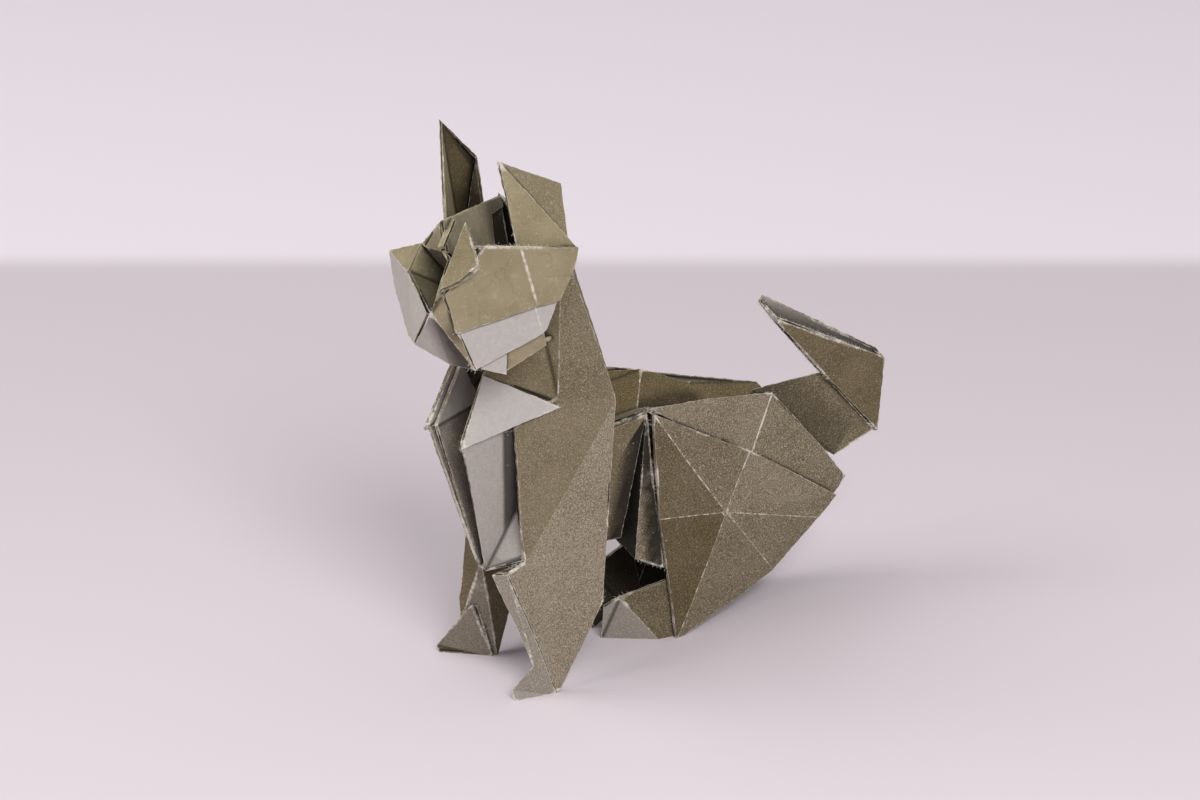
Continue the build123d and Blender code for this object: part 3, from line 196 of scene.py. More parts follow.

# Hollows painted with shade: middle and facing of the panel, reach and share.  One whose painted shade is
# darkest along a line also has both ends of the line and how far the dark fades from it.
HOLLOWS = {
    "pocket wall": ((22.1, -1.9, 59.6), (0.68, 0.73, 0.06), 3.0, 0.9),
    "crest": ((27.2, 0.7, 67.4), (-0.37, 0.91, 0.17), 3.0, 0.6,
              (22.8, -1.0, 62.0), (22.8, -1.2, 71.0), 2.8),
    "pocket far wall": ((26.3, -4.6, 57.0), (0.47, 0.85, 0.23), 3.0, 0.95),
    "pocket rear": ((19.9, 0.5, 65.3), (0.09, 0.81, 0.58), 3.0, 0.95),
    "pleat": ((3.0, 2.0, 21.1), (0.98, -0.19, 0.05), 4.0, 0.95),
    "pleat front": ((2.9, 0.9, 23.4), (0.77, -0.61, 0.18), 4.0, 0.95),
    "beside the haunch": ((2.0, 4.1, 20.0), (0.22, 0.98, -0.01), 4.0, 0.9,
                          (2.8, 4.6, 35.4), (0.6, 4.4, 10.0), 1.7),
    "flank edge": ((7.2, 2.1, 22.9), (0.21, 0.97, -0.09), 3.0, 0.92,
                   (2.9, 3.4, 34.0), (5.6, 1.6, 13.0), 2.7),
    "loin": ((-7.0, -2.9, 33.0), (-0.07, 0.47, 0.88), 3.0, 0.65,
             (-2.0, -1.2, 32.4), (-9.4, -0.9, 32.0), 2.8),
    "loin rear": ((-14.3, -1.0, 31.9), (0.0, 0.37, 0.93), 4.0, 0.65,
                  (-2.0, -1.2, 32.4), (-9.4, -0.9, 32.0), 2.8),
    "right thigh": ((-6.1, -7.3, 9.2), (0.29, 0.96, 0.03), 4.0, 0.9),
    "right hock": ((-9.5, -5.9, 3.9), (0.38, 0.92, 0.06), 4.0, 0.9),
    "right hind paw": ((-3.5, -6.8, 4.2), (0.01, 1.0, 0.06), 4.0, 0.85),
    "right hind toe": ((1.5, -6.1, 2.5), (-0.31, 0.91, 0.26), 4.0, 0.8),
    "right flank": ((3.8, -8.7, 26.1), (0.21, 0.97, 0.10), 8.0, 0.8),
    "nose far wall": ((32.7, -1.1, 61.7), (0.03, 0.88, 0.48), 3.0, 0.75,
                      (30.5, 0.2, 59.5), (36.5, -0.2, 60.0), 2.8),
    "nose rear": ((31.9, 0.3, 62.7), (0.87, 0.07, -0.49), 3.0, 0.65),
    "nose floor": ((34.6, 2.0, 60.2), (-0.40, 0.38, 0.83), 3.0, 0.6),
    "under the cheek": ((36.5, 5.5, 55.1), (0.85, 0.29, -0.43), 3.0, 0.85,
                        (37.0, 8.9, 58.3), (33.7, 8.9, 51.9), 5.0),
    "inside of the tail": ((-28.0, 3.0, 36.8), (0.21, 0.98, 0.0), 4.0, 0.75,
                           (-21, 3, 40.8), (-38, 6.6, 32.4), 3.6),
    "tail root": ((-33.9, 5.4, 26.8), (0.17, 0.98, 0.11), 4.0, 0.42,
                  (-20.1, 4.2, 31.1), (-31.5, 6.0, 18.0), 7.0),
    "tail root top": ((-21.9, 2.7, 29.5), (0.21, 0.97, 0.10), 4.0, 0.42,
                      (-20.1, 4.2, 31.1), (-31.5, 6.0, 18.0), 7.0),
    "chin side": ((36.7, 8.0, 58.4), (0.72, 0.66, -0.23), 2.0, 0.5,
                  (36.3, 8.3, 57.5), (36.0, 8.6, 59.0), 2.0),
}

# The shaded strip of the left bib beside the leg: the top and foot of its front line,
# and which way it lies from there
STRIP_TOP = Vector((26.12, 3.74, 39.48)) * MM
STRIP_FOOT = Vector((24.2, 1.02, 23.01)) * MM
STRIP_BACKWARDS = Vector((-0.979, 0.187, 0.083))
STRIP_UPWARDS = Vector((0.765, -0.014, 0.644))
STRIP_EDGE = (-0.2 * MM, 0.4 * MM)      # over which its front line fades
STRIP_END = (-0.5 * MM, 1.5 * MM)       # and its foot

# Creases that were pressed in and opened again, in the rump's own frame and on both haunches
HAUNCH_KNEE = (-5.6, 6.2, 17.5)
HAUNCH_CREASE_ENDS = (
    (7.0, 7.5, 36.0),
    (-10.2, 4.6, 25.0),
    (-23.0, 2.4, 10.7),
    (-15.1, 3.7, 5.0),
    (2.0, 6.4, 0.0),
    (5.1, 7.2, 19.4),
)
RUMP_CREASE = ((-15.2, 1.9, 31.1), (-10.2, 4.5, 24.0))
CHEEK_CREASE = ((28.7, 11.0, 67.6), (25.6, 11.3, 55.6))
SADDLE_CREASE = ((-5.7, -6.6, 35.1), (-1.1, -1.9, 32.6))
CREASE_REACH = 0.8 * MM

# Places where the paper is rubbed white: middle and reach
RUBBED = {
    "nose": ((38.4, 6.3, 59.8), 1.2),
    "nose flap": ((34.7, 10.8, 66.6), 1.6),
    "chin": ((33.9, 8.7, 52.3), 1.5),
    "lip": ((35.9, 8.3, 57.5), 0.9),
    "cheek top": ((31.8, 10.2, 68.1), 4.2),
    "cheek crease top": ((28.7, 11.1, 67.5), 3.2),
    "cheek crease": ((28.0, 11.2, 64.8), 4.2),
    "cheek crease low": ((27.2, 11.3, 61.8), 2.4),
    "cheek side": ((22.0, 12.2, 64.0), 1.0),
    "right cheek": ((32.9, -8.6, 57.6), 1.8),
    "left ear": ((27.8, 6.0, 76.4), 1.0),
    "haunch peak": ((2.8, 4.9, 35.4), 2.2),
    "haunch front": ((1.6, 5.0, 26.0), 3.0),
    "haunch step": ((-14.7, 5.9, 25.0), 3.0),
    "haunch step front": ((-6.0, 5.6, 30.2), 2.0),
    "hip crease": ((-17.4, 5.0, 28.0), 3.5),
    "rump": ((-20.1, 4.2, 31.1), 1.8),
    "rump corner": ((-32.7, 6.1, 15.4), 1.3),
    "leg notch": ((24.2, 4.9, 20.4), 2.4),
    "front heel": ((19.1, 5.7, 0.2), 1.0),
    "elbow": ((13.1, 7.8, 12.5), 1.8),
    "leg rear": ((12.0, 7.6, 25.0), 2.4),
    "breast": ((31.7, 2.7, 38.8), 1.6),
    "right breast": ((31.0, -3.7, 39.3), 1.6),
    "bib tip": ((20.6, 6.1, 42.4), 2.6),
    "front toe": ((24.9, 3.8, 1.0), 1.7),
    "saddle": ((-5.7, -6.6, 35.1), 1.6),
    "right front paw": ((22.9, -8.2, 4.7), 5.0),
    "right shin": ((23.6, -6.3, 12.0), 5.0),
    "tail end": ((-20.9, 3.0, 42.0), 3.2),
    "tail top": ((-30.0, 5.5, 37.2), 7.0),
    "tail corner": ((-38.2, 7.0, 32.7), 1.6),
    "tail bend": ((-37.4, 6.9, 21.6), 2.0),
    "tail root": ((-34.5, 6.1, 19.8), 3.5),
    "pleat": ((1.5, 4.1, 12.4), 3.0),
    "hind paw": ((4.2, 1.7, 6.6), 1.8),
}

# Loose fibres at the worn edges
FIBRE_RUB = 0.12            # edges rubbed more than this have fibres
FIBRE_CLEAR = 1.5 * MM      # height over the table from which they do
FIBRE_SIZES = {"Length": 0.32 * MM, "Thickness": 0.05 * MM, "Spread": 0.12 * MM, "Number": 2, "Seed": 7}
FIBRE_BEND = {"Start": (0, 0, 0), "Middle": (0.1, 0, 0.7), "End": (0.7, 0, 0.9)}
FIBRE_STEPS = 3
FIBRE_SIDES = 3
FIBRE_SHORTEST = 0.3        # against the longest
FIBRE_COLOUR = srgb(214, 207, 194)

# Sizes of the pattern in the paper
FLECK_SIZE = 0.18 * MM
GRAIN_SIZE = 0.7 * MM
PATCH_SIZE = 6 * MM
WRINKLE_SIZE = 2.2 * MM
FLATTENED_SIZE = 5 * MM     # folds pressed flat again
BREAK_SIZE = 0.8 * MM       # breaks in the white of a fold
STRETCH_SIZE = 7 * MM       # stretches of a fold with more or less white
DUST_SIZE = 0.34 * MM
RIPPLE_SIZE = 2.4 * MM
RELIEF = 0.08 * MM

# Colours of the paper in its darker and its lighter patches
BROWN_PAPER = srgb(111, 100, 79), srgb(121, 110, 89)
TAN_PAPER = srgb(133, 121, 102), srgb(141, 130, 111)
# The darkest of these also serves as painted shade on panels in shadow
UMBER_PAPER_AND_SHADE = srgb(77, 64, 36), srgb(87, 73, 44)
OLIVE_PAPER = srgb(141, 130, 100), srgb(154, 143, 114)
PALE_BACK = srgb(174, 169, 164), srgb(198, 193, 188)

# What lies over them, flecks, painted shade and rubbed white: colour and greatest share
BROWN_LIGHT_FLECKS = srgb(182, 171, 150), 0.75
BROWN_DARK_FLECKS = srgb(74, 65, 49), 0.7
UMBER_LIGHT_FLECKS = srgb(136, 122, 90), 0.5
UMBER_DARK_FLECKS = srgb(52, 42, 24), 0.5
OLIVE_LIGHT_FLECKS = srgb(182, 172, 145), 0.12
OLIVE_WRINKLES = srgb(190, 181, 154), 0.35
OLIVE_FLATTENED = srgb(104, 93, 66), 0.22
BACK_DARK_FLECKS = srgb(132, 130, 126), 0.18
VALLEY_SHADE = srgb(44, 39, 29), 0.75
SLIT_SHADE = srgb(48, 43, 33), 0.85
STRIP_SHADE = srgb(44, 40, 34), 0.86
RUBBED_WHITE = srgb(218, 211, 198), 0.85
HOLLOW_SHADE = srgb(20, 16, 10)

# Camera and stage
CAMERA_PLACE = Vector((221.95, 256.15, 192.9)) * MM
CAMERA_FACING = Vector((-0.5826, -0.6943, -0.4226))
CAMERA_LENS = 84.7
SENSOR = 36.0
NEAREST_SEEN = 0.01
FLOOR_SIZE = 6.0
TABLE_END = 0.473           # from under the camera to where the table ends
TABLE_BLUR = 0.005
# The table's paleness towards the camera is painted light
TABLE_FADE = 0.3            # over which the table grows paler towards the camera
TABLE_FAR = srgb(205, 195, 199)
TABLE_NEAR_PAINTED_LIGHT = srgb(224, 215, 221)
WALL = srgb(231, 223, 229)
ROOM_COLOUR = srgb(229, 224, 228)
ROOM_LEVEL = 0.33
LAMPS = {                   # place, size and power
    "window": ((0.8, -0.4, 0.95), 0.8, 9.0),
    "room_side": ((0.35, 0.9, 0.9), 0.5, 10.0),
    "sky": ((-0.1, 0.15, 1.3), 1.2, 3.0),
}
LAMP_AIM = Vector((0, 0, 0.03))


def flat_panels(node):
    """The solid's facets, merged into flat panels."""
    panels = bmesh.new()
    panels.from_mesh(node.data)
    bmesh.ops.remove_doubles(panels, verts=panels.verts, dist=MERGE_REACH)
    bmesh.ops.dissolve_limit(panels, angle_limit=PANEL_ANGLE, verts=panels.verts, edges=panels.edges)
    panels.normal_update()
    panels.verts.index_update()
    panels.edges.index_update()
    return panels


def distance_to_runs(points, starts, ends):
    """Distance from each point to each straight run, as a table."""
    along = ends - starts
    length = np.maximum((along ** 2).sum(1), 1e-18)
    offset = points[:, None] - starts[None]
    share = np.clip((offset * along[None]).sum(2) / length[None], 0, 1)
    return np.linalg.norm(offset - share[..., None] * along[None], axis=2)


def is_inside(points, starts, ends):
    """Whether each point lies inside the outline made of the runs."""
    x, y = points[:, None, 0], points[:, None, 1]
    crosses = (starts[None, :, 1] > y) != (ends[None, :, 1] > y)
    rise = np.where(ends[:, 1] == starts[:, 1], 1e-18, ends[:, 1] - starts[:, 1])
    reach = starts[None, :, 0] + (y - starts[None, :, 1]) * ((ends[:, 0] - starts[:, 0]) / rise)[None]
    return (crosses & (x < reach)).sum(1) % 2 == 1


def inner_points(outline):
    """Points that fill a panel: a row just inside its outline, and a staggered grid further in."""
    ends = np.roll(outline, -1, axis=0)
    low, high = outline.min(0), outline.max(0)
    along = ends - outline
    length = np.maximum(np.linalg.norm(along, axis=1), 1e-12)[:, None]
    ring = (outline + ends) / 2 + np.stack([-along[:, 1], along[:, 0]], axis=1) / length * RING_INSET
    rows = np.arange(low[1], high[1], INNER_STEP * ROW_SHARE)
    grid = [
        (x, y)
        for number, y in enumerate(rows)
        for x in np.arange(low[0] + (number % 2) * INNER_STEP / 2, high[0], INNER_STEP)
    ]
    found = []
    for points, step in ((ring, RING_INSET), (np.array(grid).reshape(-1, 2), INNER_STEP)):
        clear = distance_to_runs(points, outline, ends).min(1) > CLEAR_SHARE * step
        points = points[clear]
        found.append(points[is_inside(points, outline, ends)])
    return np.concatenate(found)


def slit_points(outline):
    """Points along the middle of a narrow panel."""
    ends = np.roll(outline, -1, axis=0)
    along = ends - outline
    longest = along[np.argmax((along ** 2).sum(1))]
    direction = longest / np.linalg.norm(longest)
    reach = outline @ direction
    middle = outline.mean(0)
    steps = np.arange(reach.min(), reach.max(), SLIT_STEP) - middle @ direction
    points = middle + steps[:, None] * direction
    clear = distance_to_runs(points, outline, ends).min(1) > SLIT_CLEAR
    points = points[clear]
    return points[is_inside(points, outline, ends)]


def in_rump_frame(ahead, out, up):
    """A place on the rump, given in its own frame."""
    turn = Matrix.Rotation(RUMP_TURN, 3, "Z")
    return turn @ (Vector((ahead, out, up)) * MM) + RUMP_PLACE


def creases():
    """Both ends of every opened crease."""
    found = [tuple(Vector(end) * MM for end in crease) for crease in (CHEEK_CREASE, SADDLE_CREASE)]
    pairs = [(HAUNCH_KNEE, end) for end in HAUNCH_CREASE_ENDS] + [RUMP_CREASE]
    for side in (1, -1):
        for pair in pairs:
            found.append(tuple(in_rump_frame(ahead, side * out, up) for ahead, out, up in pair))
    return found


CREASES = creases()


def lies_on_crease(edge):
    """Whether an edge between two panels runs along one of the creases."""
    for start, end in CREASES:
        along = end - start
        for vert in edge.verts:
            share = min(1.0, max(0.0, (vert.co - start).dot(along) / along.length_squared))
            if (vert.co - start - along * share).length > CREASE_REACH:
                break
        else:
            return True
    return False


class Net:
    """A fine net of triangles over the panels, with what the paper's finish needs at each point."""

    def __init__(self, panels):
        self.points = [tuple(vert.co) for vert in panels.verts]
        self.triangles = []
        self.panel_of = []
        self.ridge = [FAR] * len(self.points)
        self.valley = [FAR] * len(self.points)
        self.crease = [FAR] * len(self.points)
        self.slit = [0.0] * len(self.points)
        self.normals = []
        self.centres = []
        self.samples = {edge.index: self.divide(edge) for edge in panels.edges}
        for panel in panels.faces:
            self.fill(panel)

    def add(self, point):
        """One more point, far from any fold until told otherwise."""
        self.points.append(tuple(point))
        self.ridge.append(FAR)
        self.valley.append(FAR)
        self.crease.append(FAR)
        self.slit.append(0.0)
        return len(self.points) - 1

    def divide(self, edge):
        """The points along an edge, from its first end to its second."""
        start, end = edge.verts[0].co, edge.verts[1].co
        count = max(1, math.ceil((end - start).length / EDGE_STEP))
        inner = [self.add(start.lerp(end, step / count)) for step in range(1, count)]
        return [edge.verts[0].index, *inner, edge.verts[1].index]

    def fill(self, panel):
        """Triangles over one panel, and the distances of its points to its folds."""
        normal = panel.normal
        across = normal.orthogonal().normalized()
        up = normal.cross(across)
        middle = panel.calc_center_median()
        names = []
        for loop in panel.loops:
            run = self.samples[loop.edge.index]
            names += (run if loop.edge.verts[0] == loop.vert else run[::-1])[:-1]
        offsets = np.array([self.points[name] for name in names]) - np.array(middle)
        outline = np.stack([offsets @ np.array(across), offsets @ np.array(up)], axis=1)
        longest = max(edge.calc_length() for edge in panel.edges)
        is_rim = panel.calc_area() / longest < RIM_WIDTH and longest > 2 * RIM_WIDTH
        inside = slit_points(outline) if is_rim else inner_points(outline)
        depth = SLIT_DEPTH if is_rim else 0.0
        for x, y in inside:
            names.append(self.add(middle + across * x + up * y - normal * depth))
            self.slit[names[-1]] = 1.0 if is_rim else 0.0
        flat = np.concatenate([outline, inside]) / MM
        first, last = len(outline), len(flat)
        kept = [(k, k + 1) for k in range(first, last - 1)] if is_rim else []
        made = geometry.delaunay_2d_cdt([Vector(p) for p in flat], kept, [list(range(first))], 1, 1e-6)
        number = len(self.normals)
        for triangle in made[2]:
            corners = [names[made[3][corner][0]] for corner in triangle if made[3][corner]]
            if len(set(corners)) == 3:
                self.triangles.append(corners)
                self.panel_of.append(number)
        self.normals.append(tuple(normal))
        self.centres.append(tuple(middle))
        self.measure(panel, names)

    def measure(self, panel, names):
        """Lower the distances of the panel's points to its worn ridges, shaded valleys and creases."""
        places = np.array([self.points[name] for name in names])
        folds = [edge for edge in panel.edges if len(edge.link_faces) == 2]
        sharp = [edge for edge in folds if edge.calc_face_angle() > FOLD_ANGLE]
        chosen = (
            (self.ridge, [edge for edge in sharp if edge.is_convex]),
            (self.valley, [edge for edge in sharp if not edge.is_convex]),
            (self.crease, [edge for edge in folds if lies_on_crease(edge)]),
        )
        for store, runs in chosen:
            if runs:
                starts = np.array([tuple(edge.verts[0].co) for edge in runs])
                ends = np.array([tuple(edge.verts[1].co) for edge in runs])
                nearest = distance_to_runs(places, starts, ends).min(1)
                for name, distance in zip(names, nearest):
                    store[name] = min(store[name], distance)


def strayed(point, normal, on_edge):
    """A point of the paper, moved by the slow bulge of each flap, by fine crinkles and by frayed edges."""
    held = min(1.0, max(0.0, point.z / FLOOR_HOLD))
    bulge = noise.noise_vector(point / BULGE_LENGTH) * BULGE
    crinkle = noise.noise(point / CRINKLE_LENGTH) * CRINKLE
    fray = noise.noise_vector(point / FRAY_LENGTH) * FRAY if on_edge else Vector()
    return point + (bulge + normal * crinkle + fray) * held


def lies_on(centre, normal, middle, facing, reach, offset, sides):
    """Whether a panel lies in the plane of an entry and within its reach."""
    away = Vector(centre) - Vector(middle) * MM
    facing = Vector(facing).normalized()
    alike = facing.dot(normal) if sides == 1 else abs(facing.dot(normal))
    return alike > PALE_FACING and abs(away.dot(facing)) < offset and away.length < reach * MM


def listed_share(entries, centre, normal, offset):
    """The share of the first entry that a panel lies on."""
    for middle, facing, reach, share in entries.values():
        if lies_on(centre, normal, middle, facing, reach, offset, 1):
            return share
    return 0.0


def olive_share(centre, normal):
    """How olive and smooth a panel's paper is: the listed panels, and otherwise the whole head."""
    listed = listed_share(OLIVE_PANELS, centre, normal, OLIVE_OFFSET)
    if listed:
        return listed
    offset = Vector(centre) - HEAD_PLACE
    ahead = offset.x * math.cos(HEAD_TURN) + offset.y * math.sin(HEAD_TURN)
    on_skull = offset.z > SKULL_ABOVE and ahead > SKULL_AHEAD
    on_muzzle = offset.z > MUZZLE_ABOVE and ahead > MUZZLE_AHEAD
    return HEAD_OLIVE if on_skull or on_muzzle else 0.0


def tan_share(centre, normal):
    """How light and speckled a panel's paper is."""
    return listed_share(TAN_PANELS, centre, normal, PALE_OFFSET)


def umber_and_shade_share(centre, normal):
    """How dark and brown a panel is painted: the paper's own tone, and painted shade where it lies in
    shadow.
    """
    return listed_share(UMBER_AND_SHADE_PANELS, centre, normal, PALE_OFFSET)


def pale_share(centre, normal):
    """How far a panel shows the pale back of the paper."""
    for name in ("left cheek", "left cheek rear"):
        middle, facing, reach, _ = OLIVE_PANELS[name]
        if lies_on(centre, normal, middle, facing, reach, CHEEK_OFFSET, 1):
            return 0.0
    for middle, facing, reach, sides, share in PALE_PANELS.values():
        if lies_on(centre, normal, middle, facing, reach, PALE_OFFSET, sides):
            return share
    return 0.0


def is_left_bib(centre, normal):
    """Whether a panel is the side of the left bib that faces out."""
    middle, facing, reach, _, _ = PALE_PANELS["left bib"]
    return float(lies_on(centre, normal, middle, facing, reach, PALE_OFFSET, 1))


def rubbed(points):
    """How much the paper is rubbed at each point, from 0 to 1."""
    most = np.zeros(len(points))
    for middle, reach in RUBBED.values():
        away = np.linalg.norm(np.array(points) / MM - np.array(middle), axis=1)
        most = np.maximum(most, 1 - away / reach)
    return most


def fading(points, start, end, length):
    """How dark a hollow's painted shade is at each point around its darkest line, from 0 to 1."""
    line = [np.array([place]) * MM for place in (start, end)]
    away = distance_to_runs(points.reshape(-1, 3), *line).reshape(points.shape[:-1])
    return np.clip(HOLLOW_STEEPNESS * (1 - away / (length * MM)), 0, 1)


def hollowed(net):
    """How dark the painted shade in the hollows is at each corner of each triangle, from 0 to 1."""
    points = np.array(net.points)[np.array(net.triangles)]
    shades = np.zeros(points.shape[:2], np.float32)
    panel_of = np.array(net.panel_of)
    for number, (centre, normal) in enumerate(zip(net.centres, net.normals)):
        for middle, facing, reach, share, *line in HOLLOWS.values():
            if lies_on(centre, normal, middle, facing, reach, PALE_OFFSET, 1):
                chosen = np.flatnonzero(panel_of == number)
                shades[chosen] = share * fading(points[chosen], *line) if line else share
    return shades.ravel()


def sheltered(mesh, panels):
    """How much of the light from outside is kept off each point by the paper around it, from 0 to 1."""
    tree = BVHTree.FromBMesh(panels)
    looks = []
    for number in range(SHELTER_LOOKS):
        height = 1 - (2 * number + 1) / SHELTER_LOOKS
        turn = number * math.pi * (3 - math.sqrt(5))
        reach = math.sqrt(1 - height ** 2)
        looks.append(Vector((reach * math.cos(turn), reach * math.sin(turn), height)))
    shares = []
    for vert in mesh.vertices:
        start = vert.co + vert.normal * SHELTER_LIFT
        met = weight = 0.0
        for look in looks:
            facing = look.dot(vert.normal)
            if facing > SHELTER_GRAZE:
                weight += facing
                if tree.ray_cast(start, look, SHELTER_REACH)[0] is not None:
                    met += facing
        shares.append(met / weight)
    return shares


def keep(mesh, name, domain, values):
    """Store a number for each point, face or corner of the mesh."""
    layer = mesh.attributes.new(name, "FLOAT", domain)
    layer.data.foreach_set("value", np.array(values, np.float32))


def folded_paper(node):
    """The dog as one sheet of paper, with its folds, bulges and wear, and where shade is painted on it."""
    panels = flat_panels(node)
    net = Net(panels)
    mesh = bpy.data.meshes.new("folded_paper")
    mesh.from_pydata(net.points, [], net.triangles)
    mesh.update()
    for name, distances in (("ridge_mm", net.ridge), ("valley_mm", net.valley), ("crease_mm", net.crease)):
        keep(mesh, name, "POINT", np.array(distances) / MM)
    keep(mesh, "slit", "POINT", net.slit)
    keep(mesh, "rubbed", "POINT", rubbed(net.points))
    keep(mesh, "sheltered", "POINT", sheltered(mesh, panels))
    panels.free()
    for name, share in (
        ("pale", pale_share),
        ("olive", olive_share),
        ("tan", tan_share),
        ("left_bib", is_left_bib),
        ("umber_and_shade", umber_and_shade_share),
    ):
        by_panel = [share(centre, normal) for centre, normal in zip(net.centres, net.normals)]
        keep(mesh, name, "FACE", np.array(by_panel)[net.panel_of])
    keep(mesh, "hollow", "CORNER", hollowed(net))
    noise.seed_set(STRAY_SEED)
    moved = [
        strayed(vert.co, vert.normal, ridge < EDGE_REACH)
        for vert, ridge in zip(mesh.vertices, net.ridge)
    ]
    mesh.vertices.foreach_set("co", np.array(moved, np.float32).ravel())
    mesh.polygons.foreach_set("use_smooth", [True] * len(mesh.polygons))
    mesh.set_sharp_from_angle(angle=SHARP_ANGLE)
    mesh.update()
    paper = bpy.data.objects.new("folded_paper", mesh)
    bpy.context.scene.collection.objects.link(paper)
    return paper


class Value:
    """A value in a tree of nodes, used in ordinary expressions."""

    def __init__(self, tree, socket):
        self.tree = tree
        self.socket = socket

    def __add__(self, other):
        return self.tree.maths("ADD", self, other)

    def __sub__(self, other):
        return self.tree.maths("SUBTRACT", self, other)

    def __rsub__(self, other):
        return self.tree.maths("SUBTRACT", other, self)

    def __mul__(self, other):
        return self.tree.maths("MULTIPLY", self, other)

    def __truediv__(self, other):
        return self.tree.maths("DIVIDE", self, other)

    __radd__ = __add__
    __rmul__ = __mul__


class Tree:
    """A tree of nodes under construction."""

    def __init__(self, tree):
        self.tree = tree
        self.tree.nodes.clear()

    def node(self, kind, settings, sockets):
        """A node with its settings made first and then its sockets set or linked."""
        made = self.tree.nodes.new(kind)
        for name, setting in settings.items():
            setattr(made, name, setting)
        for name, value in sockets.items():
            if isinstance(value, Value):
                self.tree.links.new(value.socket, made.inputs[name])
            else:
                made.inputs[name].default_value = value
        return made

    def value(self, kind, settings, sockets, output):
        """One output of a new node."""
        return Value(self, self.node(kind, settings, sockets).outputs[output])

    def maths(self, operation, first, second):
        """Two numbers joined by an operation."""
        return self.value("ShaderNodeMath", {"operation": operation}, {0: first, 1: second}, 0)


class Finish(Tree):
    """A material under construction."""

    def __init__(self, name):
        self.material = bpy.data.materials.new(name)
        self.material.use_nodes = True
        super().__init__(self.material.node_tree)

    def attribute(self, name):
        """A number stored on the mesh."""
        return self.value("ShaderNodeAttribute", {"attribute_name": name}, {}, "Fac")

    def noise(self, place, size, detail=2.0, roughness=0.5):
        """Soft random patches of about the given size."""
        sockets = {"Vector": place, "Scale": 1 / size, "Detail": detail, "Roughness": roughness}
        return self.value("ShaderNodeTexNoise", {}, sockets, "Fac")

    def fade(self, value, start, end):
        """A smooth step from 0 at start to 1 at end."""
        sockets = {"Value": value, "From Min": start, "From Max": end}
        return self.value("ShaderNodeMapRange", {"interpolation_type": "SMOOTHSTEP"}, sockets, "Result")

    def beyond(self, place, start, direction):
        """How far a place lies beyond a start, in a direction."""
        sockets = {0: place, 1: direction}
        reach = self.value("ShaderNodeVectorMath", {"operation": "DOT_PRODUCT"}, sockets, "Value")
        return reach - start.dot(direction)

    def veins(self, patches, width):
        """Thin lines where soft patches pass their middle."""
        return self.fade(self.maths("ABSOLUTE", patches - 0.5, 0.0), width, 0.0)

    def blend(self, share, first, second):
        """Two colours mixed by a share."""
        return self.value("ShaderNodeMix", {"data_type": "RGBA"}, {0: share, 6: first, 7: second}, 2)

    def tinted(self, sheet, mask, tint):
        """A colour with another laid over it where a mask says."""
        colour, share = tint
        return self.blend(mask * share, sheet, colour)

    def surface(self, settings):
        """The finished surface."""
        shader = self.node("ShaderNodeBsdfPrincipled", {}, settings)
        self.node("ShaderNodeOutputMaterial", {}, {"Surface": Value(self, shader.outputs["BSDF"])})
        return self.material


def clean_sheet(paper, place, fleck, grain, wrinkles):
    """The paper's colour before the later painted shade and wear: brown, olive, or darker brown that is
    partly painted shade, with a pale back.
    """
    patches = paper.fade(paper.noise(place, PATCH_SIZE, 3.0), 0.35, 0.65)
    light_flecks = paper.fade(fleck, 0.50, 0.66)
    dark_flecks = paper.fade(fleck, 0.49, 0.30)
    flattened = paper.veins(paper.noise(place, FLATTENED_SIZE, 3.0), 0.02)

    brown = paper.blend(patches, *BROWN_PAPER)
    brown = paper.blend(paper.attribute("tan"), brown, paper.blend(patches, *TAN_PAPER))
    brown = paper.tinted(brown, light_flecks, BROWN_LIGHT_FLECKS)
    brown = paper.tinted(brown, dark_flecks, BROWN_DARK_FLECKS)
    # Darker brown paper, which on the shaded panels is painted shade
    umber_and_shade = paper.blend(patches, *UMBER_PAPER_AND_SHADE)
    umber_and_shade = paper.tinted(umber_and_shade, light_flecks, UMBER_LIGHT_FLECKS)
    umber_and_shade = paper.tinted(umber_and_shade, dark_flecks, UMBER_DARK_FLECKS)
    olive = paper.blend(patches, *OLIVE_PAPER)
    olive = paper.tinted(olive, light_flecks, OLIVE_LIGHT_FLECKS)
    olive = paper.tinted(olive, wrinkles, OLIVE_WRINKLES)
    olive = paper.tinted(olive, flattened, OLIVE_FLATTENED)
    back = paper.tinted(paper.blend(grain, *PALE_BACK), dark_flecks, BACK_DARK_FLECKS)

    face = paper.blend(paper.attribute("olive"), brown, olive)
    face = paper.blend(paper.attribute("umber_and_shade"), face, umber_and_shade)
    return paper.blend(paper.attribute("pale"), face, back)


def shaded_sheet(paper, place, sheet):
    """The colour with painted shade in valleys and in slits between layers, a painted shadow on the bib's
    strip, and painted shade in sheltered places and hollows.
    """
    sheet = paper.tinted(sheet, paper.fade(paper.attribute("valley_mm"), 0.5, 0.0), VALLEY_SHADE)
    sheet = paper.tinted(sheet, paper.attribute("slit"), SLIT_SHADE)
    behind_line = paper.fade(paper.beyond(place, STRIP_TOP, STRIP_BACKWARDS), *STRIP_EDGE)
    above_foot = paper.fade(paper.beyond(place, STRIP_FOOT, STRIP_UPWARDS), *STRIP_END)
    sheet = paper.tinted(sheet, behind_line * above_foot * paper.attribute("left_bib"), STRIP_SHADE)
    # Painted shade where the paper around a point keeps the light off, less on the pale back, and painted
    # shade in the listed hollows
    deep = paper.fade(paper.attribute("sheltered"), 0.4, 1.0) * (0.9 - 0.4 * paper.attribute("pale"))
    return paper.blend(paper.maths("MAXIMUM", deep, paper.attribute("hollow")), sheet, HOLLOW_SHADE)


